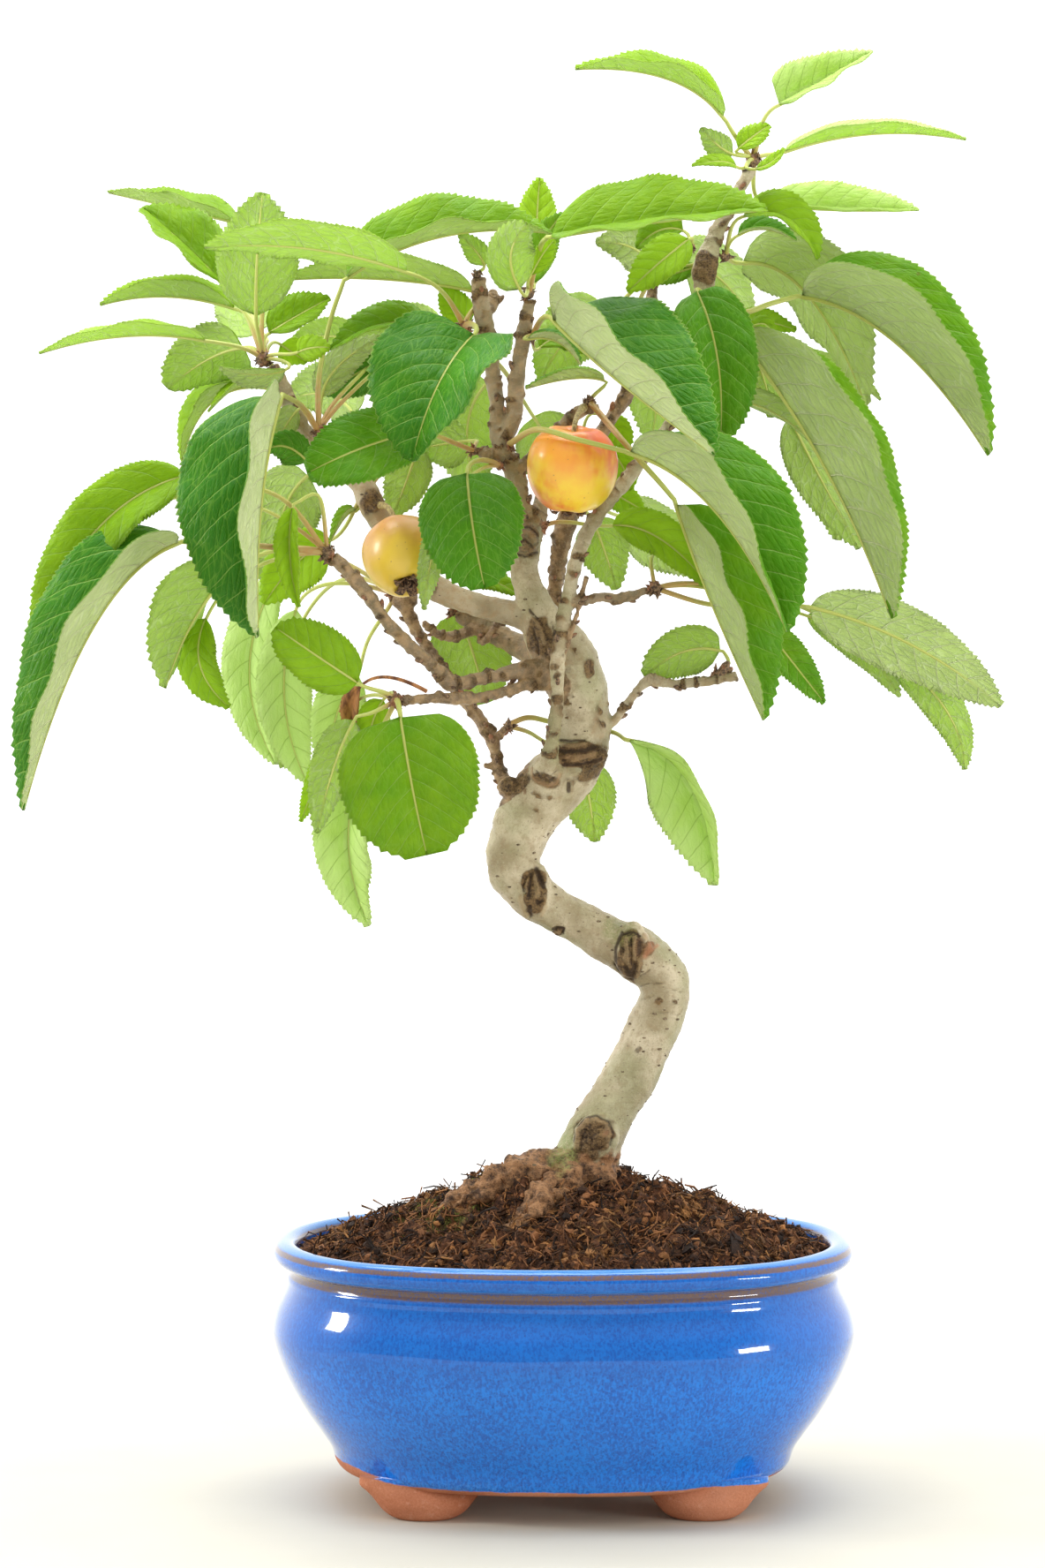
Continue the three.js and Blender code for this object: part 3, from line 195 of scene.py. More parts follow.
class Wire:
    """A socket in a material's node tree. Arithmetic on it, also with a number first, adds Math nodes."""

    def __init__(self, tree, socket=None):
        self.tree = tree
        self.socket = socket

    def node(self, kind, settings=(), inputs=(), output=0):
        """Adds a node. Its settings are set first, then the values or links of its sockets."""
        made = self.tree.nodes.new("ShaderNode" + kind)
        for name, value in dict(settings).items():
            setattr(made, name, value)
        for name, value in dict(inputs).items():
            socket = made.inputs[name]
            if isinstance(value, Wire):
                self.tree.links.new(value.socket, socket)
            elif socket.type == "RGBA":
                socket.default_value = (*value, 1)
            else:
                socket.default_value = value
        return Wire(self.tree, made.outputs[output] if made.outputs else None)

    def maths(self, operation, first, second=0):
        return self.node("Math", {"operation": operation}, {0: first, 1: second})

    def __add__(self, other):
        return self.maths("ADD", self, other)

    __radd__ = __add__

    def __sub__(self, other):
        return self.maths("SUBTRACT", self, other)

    def __rsub__(self, other):
        return self.maths("SUBTRACT", other, self)

    def __mul__(self, other):
        return self.maths("MULTIPLY", self, other)

    __rmul__ = __mul__

    def __truediv__(self, other):
        return self.maths("DIVIDE", self, other)

    def __abs__(self):
        return self.maths("ABSOLUTE", self)

    def least(self, other):
        return self.maths("MINIMUM", self, other)

    def most(self, other):
        return self.maths("MAXIMUM", self, other)

    def fraction(self):
        return self.maths("FRACT", self)

    def rise(self, low, high):
        """0 below low and 1 above high, with a soft step between. low may be the larger."""
        return self.node("MapRange", {"interpolation_type": "SMOOTHSTEP"}, {0: self, 1: low, 2: high})

    def mix(self, first, second):
        """The colour that goes from first to second as this goes from 0 to 1."""
        return self.node("Mix", {"data_type": "RGBA"}, {0: self, 6: first, 7: second}, 2)

    def part(self, axis):
        """One part, X, Y or Z, of a vector."""
        return self.node("SeparateXYZ", (), {0: self}, axis)

    def parts(self):
        return tuple(self.part(axis) for axis in "XYZ")

    def stretched(self, x, y, z):
        return self.node("VectorMath", {"operation": "MULTIPLY"}, {0: self, 1: (x, y, z)})

    def grain(self, size, detail=3, roughness=0.55):
        """Noise over a place, with features of size mm."""
        inputs = {"Vector": self, "Scale": 1 / (size * MM), "Detail": detail, "Roughness": roughness}
        return self.node("TexNoise", (), inputs)

    def cells(self, size, feature="F1"):
        """Distance to the nearest point, or with DISTANCE_TO_EDGE to the nearest cell's edge."""
        inputs = {"Vector": self, "Scale": 1 / (size * MM)}
        return self.node("TexVoronoi", {"feature": feature}, inputs)

    def bump(self, height, strength=0.5):
        """The normal over a relief of this height, in units of height mm."""
        return self.node("Bump", (), {"Strength": strength, "Distance": height * MM, "Height": self})

    def attribute(self, name, output="Fac"):
        """A number that mark kept with the points, or with Vector as the output, a vector."""
        return self.node("Attribute", {"attribute_name": name}, (), output)

    def on_surface(self, shader):
        """The end of a finish."""
        self.node("OutputMaterial", (), {"Surface": shader})


def new_finish(name):
    """An empty material, and the wire that its nodes start from."""
    material = bpy.data.materials.new(name)
    material.use_nodes = True
    material.node_tree.nodes.clear()
    return material, Wire(material.node_tree)


pot_finish, wire = new_finish("cobalt_glaze_over_red_clay")
place = wire.node("TexCoord", output="Object")
# height in mm, as in POT_PROFILE
height = place.part("Z") / MM
drift = place.grain(9, 3)
fine = place.grain(0.8, 4, 0.65)
blotch = place.grain(26, 2)
runs = place.stretched(1, 1, 0.45).grain(0.9, 3)
deep = (0.001, 0.095, 0.46)
cobalt = (0.001, 0.19, 0.72)
milky = (0.07, 0.28, 0.66)
colour = (runs * 0.6 + fine * 0.5 + blotch * 0.16).rise(0.51, 0.73).mix(deep, cobalt)
dark_specks = place.cells(1.5).rise(0.40, 0.10) * fine.rise(0.40, 0.56)
colour = (dark_specks * 0.75).mix(colour, (0.001, 0.035, 0.25))
# darker on the shoulder than on the belly below: a painted reflection, as of a dark room seen in the glaze
colour = ((height + drift * 5).rise(50, 64) * 0.5).mix(colour, (0.001, 0.07, 0.32))
# milky where the glaze ran together: under the lip, on the rim's top and along the lower edge
under_lip = (height + drift * 1.6).rise(83.6, 82.2) * height.rise(80.4, 81)
rim_top = (height + fine * 0.8).rise(87.9, 88.8)
lower_edge = (height + blotch * 9).rise(21, 16.5) * fine.rise(0.4, 0.62)
pooled = (under_lip * 0.45).most(lower_edge * 0.4).most(rim_top * 0.7)
colour = pooled.mix(colour, milky)
# brown where it ran thin: over the rim's outer edge and in the groove
edge_line = (height + drift * 0.8).rise(86.1, 86.7) * (height + drift * 0.8).rise(88.3, 87.7)
groove = (height + drift * 0.5).rise(77.3, 78.0) * (height + drift * 0.9).rise(81.4, 80.7)
thin = edge_line.most(groove) * fine.rise(0.2, 0.5)
brown = fine.mix((0.05, 0.022, 0.012), (0.22, 0.12, 0.055))
colour = (thin * 0.92).mix(colour, brown)
clay_grain = place.grain(0.7, 4, 0.7)
# the bare skirt of clay is wider at the left end
to_left = (place.part("X") / MM - MIDDLE.x / MM).rise(-50, -76)
clay = (height + drift * 1.7 + fine * 0.7 - to_left * 3.6).rise(13.6, 13.1)
red_clay = (blotch * 0.6 + clay_grain * 0.4).rise(0.3, 0.7).mix((0.40, 0.135, 0.065), (0.60, 0.25, 0.14))
chalky = place.grain(3, 4, 0.7).rise(0.56, 0.74)
red_clay = (chalky * 0.35).mix(red_clay, (0.72, 0.42, 0.30))
surface = wire.node("BsdfPrincipled", (), {
    "Base Color": clay.mix(colour, red_clay),
    "Roughness": clay * 0.62 + 0.2,
    "Specular IOR Level": 0.1,
    "Coat Weight": 1 - clay,
    "Coat Roughness": 0.035,
    "Coat IOR": 1.48,
    "Normal": (clay * clay_grain * 1.2 + drift * 0.5 + fine * 0.10).bump(0.35, 0.6),
})
wire.on_surface(surface)
pot.data.materials.clear()
pot.data.materials.append(pot_finish)
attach(pot, "root")
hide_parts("pot")


# ---- trunk, roots, branches and twigs ----
# One grown piece of living crabapple wood under thin pale bark. The trunk was bent to and fro when it
# was young. Where shoots were cut off the bark has closed over in knots, and the cuts stayed brown.

# in mm, with x and y from the pot's middle
VIEWPOINT = Vector((-14, -1500, 310))
EYE = np.array(MIDDLE + VIEWPOINT * MM)


def at(x, z, depth):
    """A place in metres. x across and z up are as seen from VIEWPOINT in the upright plane through the
    pot's middle, and depth is how far behind that plane it is, all in mm."""
    seen = Vector((x, 0, z)) - VIEWPOINT
    return MIDDLE + MM * (VIEWPOINT + seen * (1 - depth / VIEWPOINT.y))


# how brown the bark is, then x, z, depth and radius along each stem
STEMS = [
    (0, [(5, 72, 0, 8), (5, 88, 0, 13), (5, 101, 0, 15.5), (6.5, 111, 0, 13.2), (9, 119, 0, 11),
         (14, 130, 0, 9.7), (20, 140, 1, 9.3), (25.8, 150, 2, 9.4), (30.3, 160, 3, 9.2),
         (33.8, 168, 4, 8.7), (35, 175.5, 4, 8.7), (31.8, 182, 4, 9), (25, 187.5, 3, 9.5),
         (17, 191.8, 2, 8.4), (8, 196.8, 1, 7.4), (-1, 201.6, 0, 7.2), (-9, 206.8, -1, 8.2),
         (-15.5, 213.5, -2, 8.9), (-17.6, 221, -2, 9.3), (-15.2, 229, -2, 10), (-11, 236.5, -1, 10.7),
         (-5.5, 243.5, 0, 11.2), (0.8, 250, 0, 10.8), (5, 257, 0, 10.3), (6.3, 266, 0, 9.7),
         (5.4, 276, 0, 10.1), (2.4, 286, 0, 10.6), (-2.5, 294, 0, 9.9), (-7, 301, -1, 8),
         (-10.3, 309, -2, 5.8), (-13.3, 319, -3, 4.9), (-12.8, 329, -4, 5.6), (-11.5, 336, -4, 4.2)]),
    # two roots over the soil
    (0.75, [(2, 110, -3, 9), (-10, 110.5, -8, 8), (-22, 106.5, -13, 6.8), (-34, 101, -16, 5),
            (-46, 92, -18, 3)]),
    (0.75, [(5, 110, -5, 7.5), (-2, 105.5, -17, 5.6), (-11, 98, -30, 4.2), (-18, 88, -40, 2.6)]),
    # the two leaders over the swirl knot
    (0.4, [(-12, 330, -4, 4.6), (-13.5, 341, -4, 2.4), (-14.6, 347.5, -4, 2.4), (-17, 353.5, -3, 3.3),
            (-19.5, 359.5, -3, 3.1), (-22.6, 366, -2, 2.9), (-22.6, 375, -1, 2.7), (-24, 385, 0, 2.6),
            (-25.5, 396, 0, 2.9), (-27.4, 407, 0, 3.1), (-29.4, 419.5, 0, 2.4)]),
    (0.45, [(-21.5, 362, -3, 2.6), (-17.3, 371, -4, 2.8), (-16.3, 380, -4, 2.8), (-15.3, 391, -4, 2.5),
           (-13.2, 402, -3, 2.5), (-11.8, 412, -3, 1.9)]),
    (0.6, [(-27.5, 408, 0, 2.5), (-24.5, 411, 2, 2.6), (-24, 415.5, 3, 1.5)]),
    (0.5, [(-20.5, 359.5, -3, 2.4), (-25, 359.4, -4, 2.3), (-29, 360.4, -4, 1.9)]),
    # the brown stem that leans right behind the right-hand apple
    (0.7, [(-4, 298, 6, 4), (-3, 309, 11, 2.5), (-2.2, 320, 12, 2.8), (-0.5, 331, 12, 3.6),
           (2.6, 341, 12, 3.4), (8, 356, 13, 2.8), (14.5, 369, 13, 2.6), (22, 380, 13, 2.4),
           (27.5, 396, 14, 2.2), (30.6, 417, 14, 1.9)]),
    (0.4, [(-10.5, 332, -3, 4), (-8.5, 340, -2, 2.9), (-6.5, 346, 2, 2.6), (-2, 352, 8, 2.4),
           (5, 354, 12, 2.3)]),
    # the grey stem up the front, to the highest shoot, with its two twigs
    (0.1, [(-4, 247, -8, 3.6), (-5, 253, -11.5, 3.2), (-3.4, 263, -14.5, 2.5), (-2, 276, -16, 2.1),
            (-2, 287, -17, 2.6), (-0.9, 298, -18, 2.3), (1.2, 308, -19, 2.5), (3.6, 320, -20, 2.3),
            (7.4, 331, -20, 2.6), (13, 340, -19, 2.2), (19, 347.5, -17, 2.4), (27, 357, -13, 2.1),
            (37, 372, -7, 1.6), (44.5, 391, -2, 2), (48.3, 411, 3, 3), (49, 424, 4, 4.2),
            (52, 434, 5, 2.7), (57.5, 445, 6, 2.3), (64.5, 457, 6, 1.9)]),
    (0.5, [(0.8, 309, -19, 2.1), (6, 309, -20, 1.7), (13, 310.5, -20, 1.6), (20, 310, -20, 1.7),
           (29, 313, -20, 1.3)]),
    (0.7, [(-0.5, 289, -17, 1.2), (4, 302, -20, 0.9), (8, 317.5, -22, 0.8)]),
    # the spur beside the right-hand apple
    (0.5, [(-17, 352, -3, 2.6), (-13, 356, -4, 2), (-5.5, 364.5, -5, 2), (1.5, 371, -6, 2.1),
            (7.5, 375, -6, 2.2), (12.5, 375.5, -6, 1.3)]),
    # the big branch to the left
    (0.3, [(-6, 301, -1, 6), (-13, 303.6, -1, 5), (-20, 305.4, 0, 4.3), (-30, 308, 0, 4.1),
           (-41, 312, 1, 4.4), (-52, 320.5, 2, 4.1), (-60, 331.5, 3, 4.1), (-65.7, 342, 3, 4.5),
           (-69.5, 350, 3, 4.1), (-78, 356, 3, 2.8), (-85.8, 362.5, 2, 2.6), (-90.7, 370.5, 1, 2.8),
           (-95.3, 379, 0, 3.2), (-99.5, 385.5, 0, 3.9), (-101.5, 389, 0, 3.9)]),
    # twigs to the left, from above down
    (0.55, [(-6, 286, -6, 4), (-14, 285.4, -10, 3), (-21, 283.8, -13, 2.3), (-30, 282.2, -18, 2.1),
            (-38.5, 280.8, -22, 2.8), (-44.2, 286, -25, 2.3), (-51, 292.4, -28, 2.2),
            (-59, 300, -31, 2.1), (-66.5, 309.8, -34, 2.1), (-72.5, 317.5, -36, 2.2),
            (-79, 324.3, -38, 2.1)]),
    (0.6, [(-5, 281, -6, 3.2), (-12, 280.4, -11, 2.2), (-20, 278, -17, 1.8), (-30, 275.6, -24, 1.7),
           (-36, 275.4, -28, 2.1), (-44, 275.8, -33, 1.7), (-55.5, 274.8, -40, 1.6)]),
    (0.8, [(-14, 243, 0, 4), (-20.2, 246.6, 2, 2.8), (-22.4, 253, 4, 2.1), (-24.4, 261, 6, 2.3),
           (-30, 270, 9, 2.2), (-37, 278.6, 12, 2.2), (-43.5, 288.5, 14, 2), (-49.5, 297.5, 15, 2.1),
           (-54.5, 307, 14, 2.6)]),
    (0.8, [(-22.5, 252, 4, 1.3), (-27.2, 252.4, 3, 1)]),
    (0.9, [(-24, 261, 6, 1.5), (-21.4, 263.5, 3, 1.3), (-18.8, 266.6, 0, 1.2)]),
    (0.5, [(-4, 289, 6, 5), (-13, 292.5, 12, 4.2), (-21, 296.5, 17, 3.9), (-29, 300.8, 19, 3.4),
           (-36.5, 304.3, 20, 2)]),
    (0.7, [(-29, 300, 18, 2.4), (-37, 297, 12, 1.7), (-43, 297.6, 8, 1.6), (-48.5, 301.6, 4, 1.3)]),
    (0.8, [(-28.5, 300, 17, 1.6), (-28, 295, 12, 1.5), (-24, 299, 9, 1.3), (-21, 304, 7, 1.1)]),
    # the twig to the right
    (0.25, [(10, 262.5, 0, 3), (16.8, 267.2, -2, 1.7), (21.5, 273, -4, 1.5), (26.5, 279.4, -5, 1.6),
           (30.5, 282, -6, 2.2), (36, 280.8, -7, 1.5), (43, 280.6, -8, 1.5), (51, 281.8, -9, 1.6),
           (60, 283.4, -10, 1.6)]),
]
# centre, radius and squash along x, y and z
KNOBS = [
    ((11.3, 123.5, -9.5), 8.2, (1, 0.45, 1)),
    ((-10, 210.5, -7.5), 8, (0.8, 0.45, 1.1)),
    ((24, 188.5, -5.5), 9, (0.75, 0.4, 1.1)),
    ((6, 256.5, -7.5), 9, (1.05, 0.5, 0.45)),
    ((-5.2, 251.5, -10.5), 5.2, (1, 0.6, 1)),
    ((-12.5, 330.5, -8.5), 5.2, (1, 0.5, 1)),
    ((-18, 245, -3), 4.6, (1, 0.8, 0.8)),
    ((48.5, 422, 4), 5, (0.95, 0.95, 0.9)),
    ((-54.5, 309.5, 13), 4.6, (1, 0.8, 0.8)),
]
# Where bark is rough and brown on the side seen from VIEWPOINT: x, z, half width, half height, turn in
# degrees and how strongly.
ROUGH_PLACES = [
    (10.4, 124.6, 7.2, 6.6, 0, 1), (7, 118, 5.6, 3, 0, 0.8), (-9.4, 206.6, 3.6, 6.2, -8, 1),
    (-10, 212.5, 4, 4.5, -15, 0.8), (23, 186, 4.8, 9.8, -6, 0.95), (29.4, 189.3, 1.9, 2.8, -30, 0.7),
    (-1.4, 195.2, 2.4, 1.3, 15, 0.9), (7, 256, 10, 4.6, -3, 1), (10.5, 251, 6, 3.6, 35, 0.6),
    (-5.8, 247.2, 5, 2.6, -15, 0.55), (-17, 246.5, 5.2, 3.6, 30, 0.85), (9, 286, 2.1, 3.4, 0, 0.6),
    (-7.6, 296.5, 4.8, 7.5, 20, 0.75), (-13, 330, 5.4, 7.4, 0, 0.45), (-2, 275.2, 2.2, 1.6, 0, 0.6),
    (-3.2, 286.4, 2.6, 1.4, 0, 0.5), (49, 423, 5.6, 5.5, 0, 1.1), (33, 171, 1.5, 1.1, 0, 0.7),
    (39, 170.8, 1.1, 0.7, -20, 0.6), (-9.5, 237, 1.3, 0.9, 0, 0.5), (-4, 228, 1.2, 1.1, 0, 0.6),
    (26, 154, 1.6, 1.2, 40, 0.5), (-45, 313.5, 2, 2.4, 0, 0.5), (-66, 343, 4, 5, -20, 0.7),
    (-100, 387, 3.6, 4, 0, 0.8), (-57, 326, 4, 6, -35, 0.55),
]
# Creases and ridges seen from VIEWPOINT: height in mm, half width, how raw and red, and the way of each
# as x and z. A negative height is a crease.
CREASES = [
    # the swirl over the lowest cut
    (-0.5, 0.35, 0, [(3.6, 122), (4, 127), (7.6, 130.6), (12, 131), (15.6, 129), (17.4, 125),
                     (16.6, 120.6)]),
    (0.5, 0.7, 0, [(4.8, 120), (5, 126), (8.2, 129.4), (12, 129.8), (15, 127.8), (16.2, 124.6),
                   (15, 120.5)]),
    (-0.4, 0.3, 0, [(8, 121.5), (8.3, 124.4), (10.6, 126.7), (13.8, 127.4)]),
    (-0.4, 0.3, 0, [(9.4, 120.5), (10.2, 124.2), (12.6, 125.5)]),
    (-0.4, 0.3, 0, [(6.2, 119.6), (6.4, 123.6), (8, 126.4)]),
    (0.3, 0.7, 0.5, [(14.4, 125), (14.9, 125.6)]),
    (-0.4, 0.35, 0, [(9, 118.8), (13, 119.4), (15.4, 121.6)]),
    # the hollow in the second bend
    (-1.6, 0.75, 0, [(-9.2, 217.2), (-7.9, 213.8), (-6.5, 210.8)]),
    (0.8, 0.75, 0, [(-10, 214.4), (-8.9, 210.6), (-9, 207.2)]),
    (-0.8, 0.5, 0, [(-11.2, 215.2), (-11.6, 211.2), (-12, 207.8)]),
    (0.5, 0.4, 0, [(-12.6, 213.4), (-13.1, 211), (-12.4, 209.2)]),
    (-0.6, 0.3, 0, [(-12.8, 214), (-13.9, 211), (-13.6, 208.6)]),
    (-0.8, 0.6, 0, [(-9, 205.8), (-8.4, 204.4), (-6.9, 205.6)]),
    (-0.7, 0.6, 0, [(-11.6, 203.6), (-11.2, 200.6)]),
    (0.5, 0.7, 0, [(-14.4, 207), (-14, 203.4), (-12.6, 200.6)]),
    (0.5, 0.6, 0, [(-6.2, 207.4), (-6, 203.4), (-7.6, 200.6)]),
    (-0.7, 0.4, 0, [(-3.6, 196), (-1.6, 196.4), (0.4, 196.2), (0, 194.4)]),
    (0.4, 0.5, 0, [(-2, 195), (-0.8, 194.6)]),
    # the long knot in the third bend
    (0.8, 0.7, 0, [(21.9, 192.4), (22.3, 188.8), (21.8, 186.2), (22.9, 183)]),
    (0.8, 0.75, 0, [(24.6, 192.6), (24.2, 189.2), (24.2, 185.6)]),
    (0.7, 0.55, 0, [(27, 186.8), (26.3, 183.2), (25.3, 179.4)]),
    (-0.8, 0.45, 0, [(23.3, 192), (23.5, 186.6), (23.4, 183.4)]),
    (-1, 0.9, 0, [(21.6, 182.4), (23.3, 178.6), (25, 183)]),
    (-0.5, 0.9, 0.3, [(26.6, 191.4), (26.2, 187.6)]),
    (-0.7, 0.4, 0, [(20.2, 195), (18.3, 189.6), (18.1, 183.4), (20.2, 178.6)]),
    (-0.6, 0.35, 0, [(20.6, 194.4), (24, 195), (26.6, 193.4)]),
    (0.4, 0.8, 1, [(28.1, 186.7), (29.1, 188.8), (30.2, 190.8)]),
    (0.6, 0.6, 0.8, [(29.6, 188.4), (32.2, 190)]),
    (0.8, 0.8, 0.2, [(28, 193), (28.2, 193.8)]),
    (-0.3, 0.25, 0, [(25.3, 178.4), (30, 181.6)]),
    (-0.3, 0.25, 0, [(25.5, 175.6), (29.8, 177), (35.1, 177.4)]),
    (-0.25, 0.25, 0, [(36.9, 175.2), (41.6, 174)]),
    (-0.25, 0.25, 0, [(27.4, 171.6), (32, 172.8)]),
    (-0.2, 0.25, 0, [(30.4, 166.6), (36, 167), (41, 165.6)]),
    # the band over the fourth bend
    (-0.7, 0.4, 0, [(-1, 261.2), (3.4, 260.8), (7.3, 261)]),
    (0.6, 0.8, 0, [(-0.4, 259.7), (3.8, 259.5), (7.1, 259.7)]),
    (-1.5, 0.85, 0.2, [(-1, 258), (5, 257.4), (8.5, 258.3), (10.6, 259)]),
    (0.4, 0.5, 0.3, [(0, 255.6), (3, 255.4)]),
    (0.5, 0.8, 0.2, [(3.6, 255), (7, 255.6), (10.6, 256.4)]),
    (-0.8, 0.45, 0.2, [(0.1, 252.6), (5, 252.9), (9.7, 253.3), (12.9, 254.8)]),
    (-0.5, 0.3, 0.2, [(11, 257.6), (14.6, 257.4)]),
    (-0.6, 0.55, 0, [(2, 246.2), (2.1, 243.4)]),
    (-0.4, 0.3, 0.3, [(9.4, 288.8), (9.7, 285)]),
    # the foot of the grey stem
    (0.6, 0.5, 0.3, [(-10.8, 251.4), (-10.6, 248.8), (-8.6, 246.6), (-5.5, 245.4), (-2.6, 246.2),
                     (-1, 249.4)]),
    (-0.4, 0.3, 0, [(-9.4, 250.6), (-7.4, 248), (-4.8, 246.8), (-2.2, 248.4)]),
    (-0.3, 0.25, 0, [(-7.2, 250.2), (-4.6, 248.8), (-2.2, 250.6)]),
    # the swirl under the leaders
    (-0.5, 0.35, 0, [(-18.4, 330), (-16, 334.4), (-11.6, 335), (-8.4, 331.6)]),
    (0.5, 0.6, 0, [(-17, 329), (-15, 332.6), (-11.6, 333), (-9.4, 329.6)]),
    (-0.5, 0.35, 0, [(-15.6, 328.4), (-13, 330.4), (-10.4, 327.4)]),
    (-0.5, 0.35, 0, [(-17.6, 325.6), (-13, 324.4), (-8.6, 325.8)]),
    # folds where the left branch leaves
    (-0.6, 0.4, 0, [(-11.6, 306), (-8, 302), (-5.6, 296)]),
    (0.5, 0.6, 0, [(-10.4, 303.4), (-7.4, 299.6), (-6.2, 294.6)]),
    (-0.5, 0.4, 0, [(-10.4, 299.8), (-8.6, 295), (-8.4, 290.6)]),
    (-0.4, 0.3, 0, [(-4, 302), (-2.6, 297)]),
]


class Plan:
    """A Geometry Nodes tree with named inputs for its sizes."""

    kinds = {float: "NodeSocketFloat", int: "NodeSocketInt"}

    def __init__(self, name, **sizes):
        self.tree = bpy.data.node_groups.new(name, "GeometryNodeTree")
        self.sizes = sizes
        face = self.tree.interface
        face.new_socket("Geometry", in_out="OUTPUT", socket_type="NodeSocketGeometry")
        face.new_socket("Geometry", in_out="INPUT", socket_type="NodeSocketGeometry")
        self.keys = {}
        for label, value in sizes.items():
            socket = face.new_socket(label, in_out="INPUT", socket_type=self.kinds[type(value)])
            self.keys[label] = socket.identifier
        self.start = self.tree.nodes.new("NodeGroupInput").outputs

    def node(self, kind, settings=(), inputs=(), output=0):
        """Adds a node. Its settings are set first, then the values or links of its sockets."""
        made = self.tree.nodes.new(kind)
        for name, value in dict(settings).items():
            setattr(made, name, value)
        for name, value in dict(inputs).items():
            if isinstance(value, bpy.types.NodeSocket):
                self.tree.links.new(value, made.inputs[name])
            else:
                made.inputs[name].default_value = value
        return made.outputs[output]

    def random(self, low, high, seed):
        """A random number for each point, or a random vector where low and high are vectors."""
        kind, first, output = ("FLOAT_VECTOR", 0, 0) if isinstance(low, tuple) else ("FLOAT", 2, 1)
        inputs = {first: low, first + 1: high, "Seed": seed}
        return self.node("FunctionNodeRandomValue", {"data_type": kind}, inputs, output)

    def named(self, name, kind="FLOAT"):
        """What mark kept with the points."""
        return self.node("GeometryNodeInputNamedAttribute", {"data_type": kind}, {"Name": name})

    def maths(self, operation, first, second):
        return self.node("ShaderNodeMath", {"operation": operation}, {0: first, 1: second})

    def between(self, low, high, share):
        """From low to high as share goes from 0 to 1."""
        return self.node("ShaderNodeMapRange", (), {"Value": share, "To Min": low, "To Max": high})

    def scaled(self, vector, factor):
        return self.node("ShaderNodeVectorMath", {"operation": "SCALE"}, {0: vector, "Scale": factor})

    def turned(self, rotation, turn):
        """A rotation, with a turn about its own axes first."""
        inputs = {0: rotation, 1: turn}
        return self.node("FunctionNodeRotateRotation", {"rotation_space": "LOCAL"}, inputs)

    def ball(self, subdivisions):
        return self.node("GeometryNodeMeshIcoSphere", (), {"Radius": 1.0, "Subdivisions": subdivisions})

    def strewn(self, surface, density, seed=None):
        """Random spots on a surface, so many to the square metre, with the way each faces."""
        spots = self.tree.nodes.new("GeometryNodeDistributePointsOnFaces")
        self.tree.links.new(surface, spots.inputs["Mesh"])
        self.tree.links.new(density, spots.inputs["Density"])
        if seed is not None:
            self.tree.links.new(seed, spots.inputs["Seed"])
        return spots.outputs["Points"], spots.outputs["Rotation"]

    def copies(self, shape, points, scale, rotation=(0.0, 0.0, 0.0)):
        """A copy of a shape at every point."""
        inputs = {"Points": points, "Instance": shape, "Rotation": rotation, "Scale": scale}
        return self.node("GeometryNodeInstanceOnPoints", (), inputs)

    def wobbled(self, geometry, scale, reach):
        """Realized copies, with every point moved by a noise of up to half of reach each way."""
        whole = self.node("GeometryNodeRealizeInstances", (), {0: geometry})
        noise_inputs = {"Scale": scale, "Detail": 1.0}
        push = self.node("ShaderNodeTexNoise", {"noise_dimensions": "3D"}, noise_inputs, "Color")
        push = self.node("ShaderNodeVectorMath", {"operation": "SUBTRACT"}, {0: push, 1: (0.5, 0.5, 0.5)})
        push = self.scaled(push, reach)
        return self.node("GeometryNodeSetPosition", (), {0: whole, "Offset": push})

    def grow(self, piece, geometry, material):
        """Realizes the instances, sets the material, and turns the result into piece's plain mesh."""
        whole = self.node("GeometryNodeRealizeInstances", (), {0: geometry})
        coated = self.node("GeometryNodeSetMaterial", (), {0: whole, "Material": material})
        end = self.tree.nodes.new("NodeGroupOutput")
        self.tree.links.new(coated, end.inputs[0])
        modifier = piece.modifiers.new(self.tree.name, "NODES")
        modifier.node_group = self.tree
        for label, value in self.sizes.items():
            modifier[self.keys[label]] = value
        return finished(piece)


def lines_piece(name, points, edges, girths):
    """An object of bare lines, with the radius in metres that swept gives each point's stem."""
    mesh = bpy.data.meshes.new(name)
    mesh.from_pydata(points, edges, [])
    piece = placed(name, mesh)
    mark(piece, "girth", girths)
    return piece


def swept(piece, step, sides, finish):
    """Sweeps the lines of a lines_piece, with a ring at each step in mm."""
    plan = Plan("swept", Step=step * MM, Sides=sides)
    line = plan.node("GeometryNodeMeshToCurve", (), {0: plan.start["Geometry"]})
    line = plan.node("GeometryNodeCurveSplineType", {"spline_type": "CATMULL_ROM"}, {0: line})
    steps = {0: line, "Length": plan.start["Step"]}
    line = plan.node("GeometryNodeResampleCurve", {"mode": "LENGTH"}, steps)
    circle = {"Resolution": plan.start["Sides"], "Radius": 1.0}
    section = plan.node("GeometryNodeCurvePrimitiveCircle", (), circle)
    inputs = {0: line, "Profile Curve": section, "Scale": plan.named("girth"), "Fill Caps": True}
    return plan.grow(piece, plan.node("GeometryNodeCurveToMesh", (), inputs), finish)


